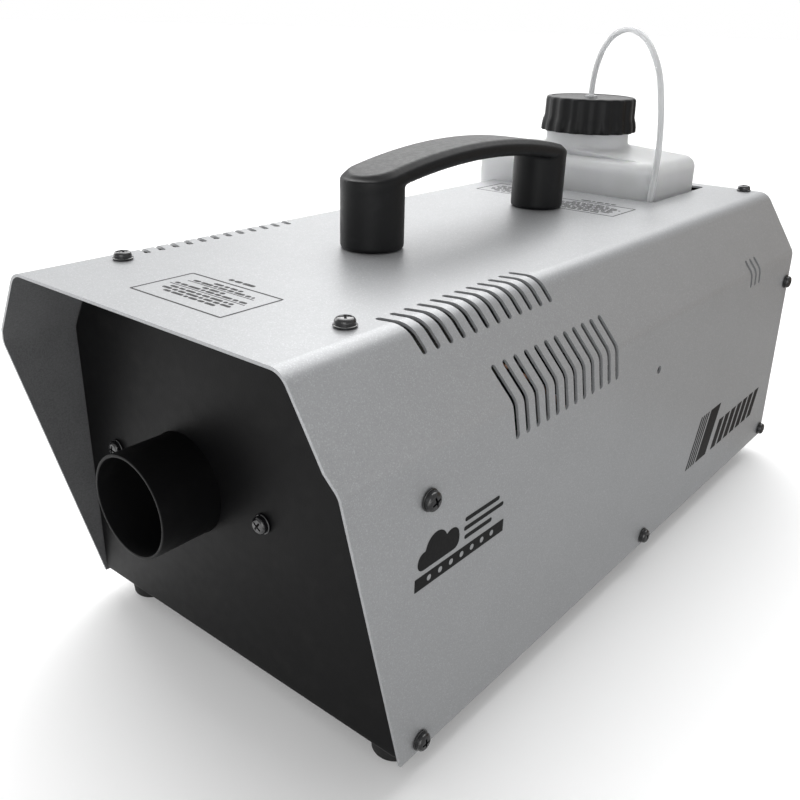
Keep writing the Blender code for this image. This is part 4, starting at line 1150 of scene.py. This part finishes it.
def bottle_cap():
    """A lobed screw cap with a flared skirt and a hole for the hose's gland."""
    low, high, _ = node_span("bottle_cap")
    height = (high.z - low.z) / MM
    count = CAP_LOBES * 10
    eye = 4.0
    outer = [(0.0, CAP_SKIRT_R - 0.5, 0.7), (0.5, CAP_SKIRT_R, 0.72), (3.0, CAP_SKIRT_R - 0.05, 0.72),
             (6.0, CAP_SKIRT_R - 0.5, 0.62), (7.6, CAP_SKIRT_R - 1.0, 0.5), (9.0, CAP_R, 0.42),
             (height - 2.4, CAP_R - 0.2, 0.42), (height - 1.2, CAP_R - 0.4, 0.4),
             (height - 0.5, CAP_R - 0.8, 0.32), (height - 0.12, CAP_R - 1.5, 0.2),
             (height, CAP_R - 2.4, 0.0), (height, CAP_R - 3.2, 0.0), (height - 0.35, CAP_R - 3.6, 0.0),
             (height - 0.35, eye + 1.2, 0.0), (height - 0.5, eye + 0.2, 0.0), (height - 0.9, eye, 0.0)]
    inner_top = height - 2.0
    inner = [(inner_top, eye, 0.0), (inner_top, NECK_R + 0.8, 0.0), (0.4, NECK_R + 0.8, 0.0),
             (0.0, NECK_R + 1.2, 0.0), (0.0, CAP_SKIRT_R - 0.5, 0.7)]

    def ring(z, radius, depth):
        points = []
        for i in range(count):
            angle = tau * i / count
            wave = cos(CAP_LOBES * angle)
            swell = depth * (1 - (1 - wave) ** 2 / 2 if wave > 0 else wave)
            points.append(Vector(((radius + swell) * cos(angle), (radius + swell) * sin(angle), z)) * MM)
        return points
    mesh = loft("screw_cap", [ring(*row) for row in outer + inner], closed=False)
    mesh.transform(Matrix.Translation(at(CAP_X, CAP_Y, (low.z - COVER_LOW.z) / MM)))
    piece("screw_cap", mesh, "cap", "black_plastic", BLACK_PLASTIC, "bottle_cap", sharp=40)


# --- screws, feet and outlet -----------------------------------------------------------

SCREW_HEAD_R = 3.7
SCREW_TALL = 3.5              # from the sheet to the top of the head
SCREW_TWIST = 1.1             # radians from one screw's recess to the next one's


def screw_mesh():
    """A pan head with a washer, a rounded crown and a cross recess, its seat at z 0."""
    crown = arc((SCREW_HEAD_R - 1.5, SCREW_TALL - 1.6), 1.5, 80, 0, 7)
    washer = [(3.9, 1.0), (4.2, 0.85), (4.2, 0.45), (4.05, 0.3)]
    profile = [(0, SCREW_TALL + 0.05), (1.2, SCREW_TALL)] + crown + [(SCREW_HEAD_R, 1.0)] + washer
    profile += [(1.9, 0.3), (1.9, -5.0), (1.4, -5.4), (0, -5.4)]
    mesh = lathe("screw", profile, 48)

    for half_x, half_y in ((2.5, 0.5), (0.5, 2.5)):
        def recess(shape):
            for vert in bmesh.ops.create_cube(shape, size=2)["verts"]:
                taper, rise = (1.0, 0.4) if vert.co.z > 0 else (0.45, -1.9)
                x, y = vert.co.x * half_x * taper, vert.co.y * half_y * taper
                vert.co = Vector((x, y, SCREW_TALL + rise)) * MM
        mesh = less(mesh, mesh_from("arm", recess))
    return mesh


def screws():
    mesh = screw_mesh()
    coat(mesh, BLACK_ZINC)
    outward = {"top_screw": Vector((0, 0, 1)), "outlet_screw": Vector((0, -1, 0))}
    for index, name in enumerate(sorted(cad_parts)):
        kind = name.rsplit("_", 2)[0] if name.startswith("top_screw") else name.rsplit("_", 1)[0]
        if name.startswith("side_screw"):
            axis = Vector((1 if name.endswith("right") else -1, 0, 0))
        elif kind in outward:
            axis = outward[kind]
        else:
            continue
        low, high, middle = node_span(name)
        half = abs((high - low).dot(axis)) / 2
        seat = middle + axis * (half - SCREW_TALL * MM)
        aim = axis.to_track_quat("Z", "Y").to_matrix().to_4x4()
        place = Matrix.Translation(seat) @ aim @ Matrix.Rotation(index * SCREW_TWIST, 4, "Z")
        piece("fixing_" + name, mesh, "machine", "black_screw", None, name, sharp=None, place=place)


def feet():
    """Turned rubber feet, dished for their fixing screw."""
    height = COVER_LOW.z / MM
    profile = [(0, 3.4), (1.9, 3.4), (1.9, -0.3), (9.6, -0.3), (10.0, -0.6), (10.2, -1.2), (10.1, -2.6),
               (9.4, -height + 1.4)] + arc((8.2, -height + 1.2), 1.2, 8, -90, 5)
    profile += [(5.4, -height), (5.0, -height + 0.2), (4.6, -height + 0.7),
                (4.4, -8.2), (4.0, -8.0), (0, -8.0)]
    mesh = lathe("foot", profile, 56)
    coat(mesh, RUBBER)
    for name in ("foot_front_left", "foot_front_right", "foot_rear_left", "foot_rear_right"):
        middle = node_span(name)[2]
        place = Matrix.Translation((middle.x, middle.y, COVER_LOW.z))
        piece(name.replace("foot", "rubber_foot"), mesh, "machine", "rubber_black", None, name, sharp=40,
              place=place)
        disc = lathe("foot_screw", [(0, -9.4), (3.6, -9.4), (3.4, -8.9), (2.2, -8.4), (0, -8.3)], 32)
        disc.transform(place)
        piece(name + "_rivet", disc, "machine", "bare_steel", STEEL)


def outlet():
    """The outlet tube with a rolled mouth, and the ears that hold it behind the panel."""
    low, high, middle = node_span("nozzle_shroud")
    length = (high.y - low.y) / MM
    r, inside = NOZZLE_R, NOZZLE_R - NOZZLE_WALL
    profile = [(r, length), (r, 0.4), (r - 0.1, 0.12), (r - 0.35, 0.0), (inside + 0.35, 0.0),
               (inside + 0.1, 0.12), (inside, 0.4), (inside, length), (r, length)]
    tube = lathe("outlet_tube", profile, 96)
    tube.transform(Matrix.Translation((middle.x, low.y, middle.z)) @ Matrix.Rotation(-pi / 2, 4, "X"))
    holes = [circle((side * NOZZLE_SCREW_X, 0), SCREW_HOLE_R, 20) for side in (-1, 1)]
    strap = [rounded_box((0, 0), (111.6, 25.6), 5.0), circle((0, 0), r - 0.2, 64)]
    ears = plate("ears", strap + holes, EAR_THICK)
    ears_y = at(0, PANEL_Y + SHEET + GAP + EAR_THICK / 2, 0).y
    ears.transform(Matrix.Translation((middle.x, ears_y, middle.z)) @ STAND)
    piece("outlet_tube", joined("outlet_tube", [tube, ears]), "machine", "satin_black_metal", SATIN_BLACK,
          "nozzle_shroud", sharp=30)


# --- rear fittings ---------------------------------------------------------------------

INLET_PINS = ((-7.0, -1.5), (0.0, 1.5), (7.0, -1.5))
SWITCH_WELL = (10.2, 16.6)
REMOTE_PIN_R = 3.6            # the pins' distance from the middle of the socket


def rear_solid(loops, bottom, top, chamfer=0.3):
    """A flat solid on the rear panel between two distances from its face, with soft edges."""
    mesh = plate("fitting", loops, top - bottom)
    mesh.transform(Matrix.Translation((0, 0, (top + bottom) / 2 * MM)))
    return chamfered(mesh, chamfer) if chamfer else mesh


def rear_piece(name, parts, fitting, slot, finish, *nodes, body="machine", sharp=30):
    """Parts made along +Z, joined and set on the rear panel where a fitting goes."""
    mesh = joined(name, parts)
    mesh.transform(rear_matrix(*REAR_PLACES[fitting]))
    piece(name, mesh, body, slot, finish, *nodes, sharp=sharp)


def inlet_outline():
    """Six-sided opening of a three-pin inlet: a rectangle with its upper corners cut."""
    half_w, half_h, cut = 11.5, 7.8, 4.2
    corners = [(-half_w, -half_h), (half_w, -half_h), (half_w, half_h - cut), (half_w - cut, half_h),
               (-half_w + cut, half_h), (-half_w, half_h - cut)]
    return rounded_line(corners, [1.2] * 6, 4)


def mains_inlet():
    flange = rear_solid([rounded_box((0, 0), (31, 24), 2.4), inlet_outline()], GAP, 2.4, 0.4)
    body = rear_solid([rounded_box((0, 0), (27.2, 19.8), 0.8, 3), inlet_outline()], -24, GAP - 0.02, 0)
    back = rear_solid([rounded_box((0, 0), (25, 17), 0.8, 3)], -16, -14, 0)
    rear_piece("inlet_body", [flange, body, back], "mains_inlet", "black_plastic", BLACK_PLASTIC,
               "mains_inlet", sharp=25)
    pins = [rear_solid([rounded_box(spot, (2.0, 4.0), 0.5, 3)], -14, -3, 0.35) for spot in INLET_PINS]
    rear_piece("inlet_pins", pins, "mains_inlet", "bare_steel", STEEL, sharp=40)


def fuse():
    """The fuse holder's ring, and its fluted knob with a slot across it."""
    ring = lathe("fuse_ring", [(6.9, 1.3), (7.1, 1.5), (8.1, 1.5), (8.4, 1.2), (8.4, 0.3), (6.1, 0.3),
                               (6.1, -24), (1.0, -24), (1.0, -22), (5.0, -22), (5.0, -3), (6.9, 0.2),
                               (6.9, 1.3)], 64)
    rear_piece("fuse_ring", [ring], "fuse_holder", "black_plastic", BLACK_PLASTIC, "fuse_holder")
    face_y = rear_matrix(*REAR_PLACES["fuse_holder"]).translation.y
    top = (node_span("fuse_cap")[1].y - face_y) / MM / cos(REAR_TILT) - 5.6 * REAR_SLOPE
    count, flutes = 72, 24

    def build(shape):
        rows = [(0.0, top - 0.3, 0), (4.6, top - 0.3, 0), (4.8, top - 0.05, 0), (5.3, top, 0),
                (5.8, top - 0.25, 0.1), (6.1, top - 0.8, 0.25), (6.2, 2.4, 0.25), (6.0, 1.9, 0.2),
                (4.4, 1.9, 0), (4.4, -14, 0), (0, -14, 0)]
        rings = []
        for r, z, flute in rows:
            if r == 0:
                rings.append([shape.verts.new((0, 0, z * MM))])
                continue
            ring = []
            for i in range(count):
                angle = tau * i / count
                out = r - flute * (0.5 - 0.5 * cos(flutes * angle))
                ring.append(shape.verts.new((out * MM * cos(angle), out * MM * sin(angle), z * MM)))
            rings.append(ring)
        for upper, under in zip(rings, rings[1:]):
            for i in range(count):
                j = (i + 1) % count
                corners = [upper[i % len(upper)], under[i % len(under)],
                           under[j % len(under)], upper[j % len(upper)]]
                shape.faces.new(list(dict.fromkeys(corners)))
    knob = mesh_from("fuse_knob", build)
    spot = Matrix.Translation((0, 0, top * MM)) @ Matrix.Diagonal((9 * MM, 1.2 * MM, 1.8 * MM, 1))
    slot = mesh_from("slot", lambda shape: bmesh.ops.create_cube(shape, size=1, matrix=spot))
    rear_piece("fuse_knob", [less(knob, slot)], "fuse_holder", "black_plastic", BLACK_PLASTIC, "fuse_cap",
               body="fuse_cap")


def remote_socket():
    """A round socket with a key at the top of its recess and three pins."""
    shell = lathe("remote_shell", [(6.6, 1.6), (6.9, 2.0), (10.4, 2.0), (10.9, 1.6), (11.0, 1.2), (11.0, 0.3),
                                   (8.0, 0.3), (8.0, -20), (0, -20), (0, -9.5), (6.6, -9.5), (6.6, 1.6)], 72)
    key = rear_solid([rounded_box((0, 6.0), (2.2, 1.6), 0.3, 2)], -9.6, 0.4, 0)
    rear_piece("remote_shell", [shell, key], "remote_socket", "black_plastic", BLACK_PLASTIC, "remote_socket")
    pins = []
    for angle in (radians(30), radians(150), radians(270)):
        pin = lathe("pin", [(0, -3.5), (0.5, -3.55), (0.85, -3.9), (0.9, -4.4), (0.9, -9.5), (0, -9.5)], 20)
        pin.transform(Matrix.Translation(Vector((cos(angle), sin(angle), 0)) * REMOTE_PIN_R * MM))
        pins.append(pin)
    rear_piece("remote_contacts", pins, "remote_socket", "brass_fitting", BRASS, sharp=40)


def switch():
    well = rounded_box((0, 0), SWITCH_WELL, 0.5, 3)
    flange = rear_solid([rounded_box((0, 0), (15, 21), 1.2), well], GAP, 1.9, 0.35)
    body = rear_solid([rounded_box((0, 0), (13, 19.2), 0.8, 3), well], -18, GAP - 0.02, 0)
    rear_piece("switch_bezel", [flange, body], "rocker_bezel", "black_plastic", BLACK_PLASTIC, "rocker_bezel",
               sharp=25)


def rocker():
    """The rocker keeps its frame shape, with softened edges, and carries a raised bar and a raised ring."""
    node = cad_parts["rocker"]
    edge = node.modifiers.new("edges", "BEVEL")
    edge.width = 0.5 * MM
    edge.segments = 3
    middle_x = REAR_PLACES["rocker_bezel"][0]
    corners = {(middle_x, round(v.co.y / MM, 2), round(v.co.z / MM, 2)) for v in node.data.vertices}
    top = max(corners, key=lambda c: c[2])
    foot = max(corners, key=lambda c: c[1])
    crease = Vector(max(corners - {top, foot}, key=lambda c: c[1]))       # between its two faces
    stroke = plate("rocker_bar", [rounded_box((0, 0), (0.9, 3.4), 0.4, 3)], 0.24)
    ring = plate("rocker_ring", [circle((0, 0), 1.8), circle((0, 0), 1.1)], 0.24)
    for mesh, end in ((stroke, top), (ring, foot)):
        along = (Vector(end) - crease).normalized()
        along *= 1 if along.z > 0 else -1
        across = Vector((-1, 0, 0))
        turn = Matrix((across, along, across.cross(along))).transposed().to_4x4()
        mesh.transform(Matrix.Translation((Vector(end) + crease) / 2 * MM) @ turn)
    piece("rocker_marks", joined("rocker_marks", [stroke, ring]), "rocker", "ivory_plastic", IVORY_PLASTIC)


# --- carried-over nodes ----------------------------------------------------------------

CARRIED = {
    "base_tray": SATIN_BLACK, "tank_well": STEEL, "cap_gland": CLEAR_HOSE, "dip_tube": CLEAR_HOSE,
    "pickup_filter": BRASS, "suction_hose": CLEAR_HOSE, "pressure_pipe": COPPER, "hose_grommet": RUBBER,
    "nozzle_jet": BRASS, "heater_block": ALUMINIUM, "heater_jacket": HEAT_BLANKET,
    "heater_bracket_front": STEEL, "heater_bracket_rear": STEEL, "thermostat": ALUMINIUM,
    "thermal_cutout": ALUMINIUM, "pump_body": STEEL, "pump_bracket": STEEL, "pump_plunger": STEEL,
    "board_carrier": IVORY_PLASTIC, "control_board": CIRCUIT_GREEN, "transformer": STEEL,
    "relay": IVORY_PLASTIC, "terminal_block": CIRCUIT_GREEN, "rocker": BLACK_PLASTIC,
    "handle_screw_front": BLACK_ZINC, "handle_screw_rear": BLACK_ZINC,
}
SOFT_EDGES = ("base_tray", "tank_well", "cap_gland", "nozzle_jet", "heater_bracket_front",
              "heater_bracket_rear", "pump_bracket", "terminal_block", "relay")


def carried_nodes():
    for name, finish in CARRIED.items():
        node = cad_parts[name]
        coat(node.data, finish)
        if name in SOFT_EDGES:
            edge = node.modifiers.new("edges", "BEVEL")
            edge.width = 0.25 * MM
            edge.segments = 2
            edge.limit_method = "ANGLE"
            edge.angle_limit = radians(40)


# --- surroundings ----------------------------------------------------------------------

SKY = ((0.05, 1.0), (0.12, 0.50))       # rise above the horizon, brightness
FLOOR_HALF = 40.0             # metres
FLOOR_DROP = 0.0002           # metres below the feet
FLOOR_GLOW = 0.14
OVERHEAD = 2.7
OVERHEAD_SPREAD = 70          # degrees across
OVERHEAD_FROM = (-0.35, 0.45, 0.82)
AIM = (0, 0, 0.12)            # where the lamps point, metres
LAMPS = [  # name, place in metres, size, power in watts
    ("back", (-1.4, 2.0, 0.9), 1.5, 2.5),
    ("back_high", (-1.3, 1.7, 1.9), 1.5, 8.5),
    ("left", (-2.2, -0.2, 1.1), 1.5, 18.0),
    ("front", (1.2, -2.0, 0.9), 1.5, 13.0),
]
GLOW_CARDS = [  # name, corner and two edges in metres, glow colour of the painted reflection
    ("board_near", (0.102, -0.5, 0.001), (1.2, 0, 0), (0, 0.7, 0), (0.40, 0.40, 0.40)),
    ("board_middle", (0.102, 0.2, 0.001), (1.2, 0, 0), (0, 0.4, 0), (0.26, 0.24, 0.22)),
    ("board_far", (0.102, 0.6, 0.001), (1.2, 0, 0), (0, 2.0, 0), (0.12, 0.09, 0.065)),
    ("board_back", (0.13, 0.8, 0.0), (0.77, 0, 0), (0, 0, 0.5), (0.24, 0.19, 0.145)),
]


def floor():
    sheet = mesh_from("floor", lambda shape: bmesh.ops.create_grid(shape, x_segments=1, y_segments=1,
                                                                   size=FLOOR_HALF))
    made = shown("floor", sheet)
    made.location.z = -FLOOR_DROP
    sheet.materials.append(floor_paper())


def painted_reflection_cards():
    """Glowing cards beside and behind the machine, hidden from the camera, from diffuse light and from
    shadows, that paint a reflection in the coat.
    """
    for name, corner, first, second, shade in GLOW_CARDS:
        corner, first, second = Vector(corner), Vector(first), Vector(second)
        spots = (corner, corner + first, corner + first + second, corner + second)
        card = mesh_from(name, lambda shape: shape.faces.new([shape.verts.new(spot) for spot in spots]))
        # painted reflection: each card glows in its colour and shows only in glossy reflections
        finish = Finish(name, emission_strength=1.0)
        finish.colour(rgb(0.0, 0.0, 0.0))
        finish.shader.inputs["Emission Color"].default_value = (*shade, 1.0)
        card.materials.append(finish.material)
        board = shown(name, card)
        board.visible_camera = False
        board.visible_shadow = False
        board.visible_diffuse = False


def studio_sky():
    """White near the horizon and greyer overhead."""
    world = bpy.data.worlds.new("studio")
    bpy.context.scene.world = world
    world.use_nodes = True
    tree = world.node_tree
    aim = tree.nodes.new("ShaderNodeTexCoord")
    height = tree.nodes.new("ShaderNodeSeparateXYZ")
    fade = tree.nodes.new("ShaderNodeValToRGB")
    tree.links.new(aim.outputs["Generated"], height.inputs[0])
    tree.links.new(height.outputs["Z"], fade.inputs[0])
    tree.links.new(fade.outputs[0], tree.nodes["Background"].inputs["Color"])
    for stop, (place, shade) in zip(fade.color_ramp.elements, SKY):
        stop.position = place
        stop.color = (shade, shade, shade, 1.0)


def lights():
    for name, place, size, power in LAMPS:
        data = bpy.data.lights.new(name, "AREA")
        data.shape = "SQUARE"
        data.size = size
        data.energy = power
        turn = (Vector(AIM) - Vector(place)).to_track_quat("-Z", "Y").to_matrix().to_4x4()
        shown(name, data).matrix_world = Matrix.Translation(place) @ turn
    overhead = bpy.data.lights.new("overhead", "SUN")
    overhead.energy = OVERHEAD
    overhead.angle = radians(OVERHEAD_SPREAD)
    turn = Vector(OVERHEAD_FROM).to_track_quat("Z", "Y").to_matrix().to_4x4()
    shown("overhead", overhead).matrix_world = turn


hose()
cover()
printed_marks()
front_panel()
rear_panel()
handle()
bottle()
bottle_cap()
screws()
feet()
outlet()
mains_inlet()
fuse()
remote_socket()
switch()
rocker()
carried_nodes()
floor()
painted_reflection_cards()
studio_sky()
lights()
bpy.context.scene.view_settings.view_transform = "Standard"
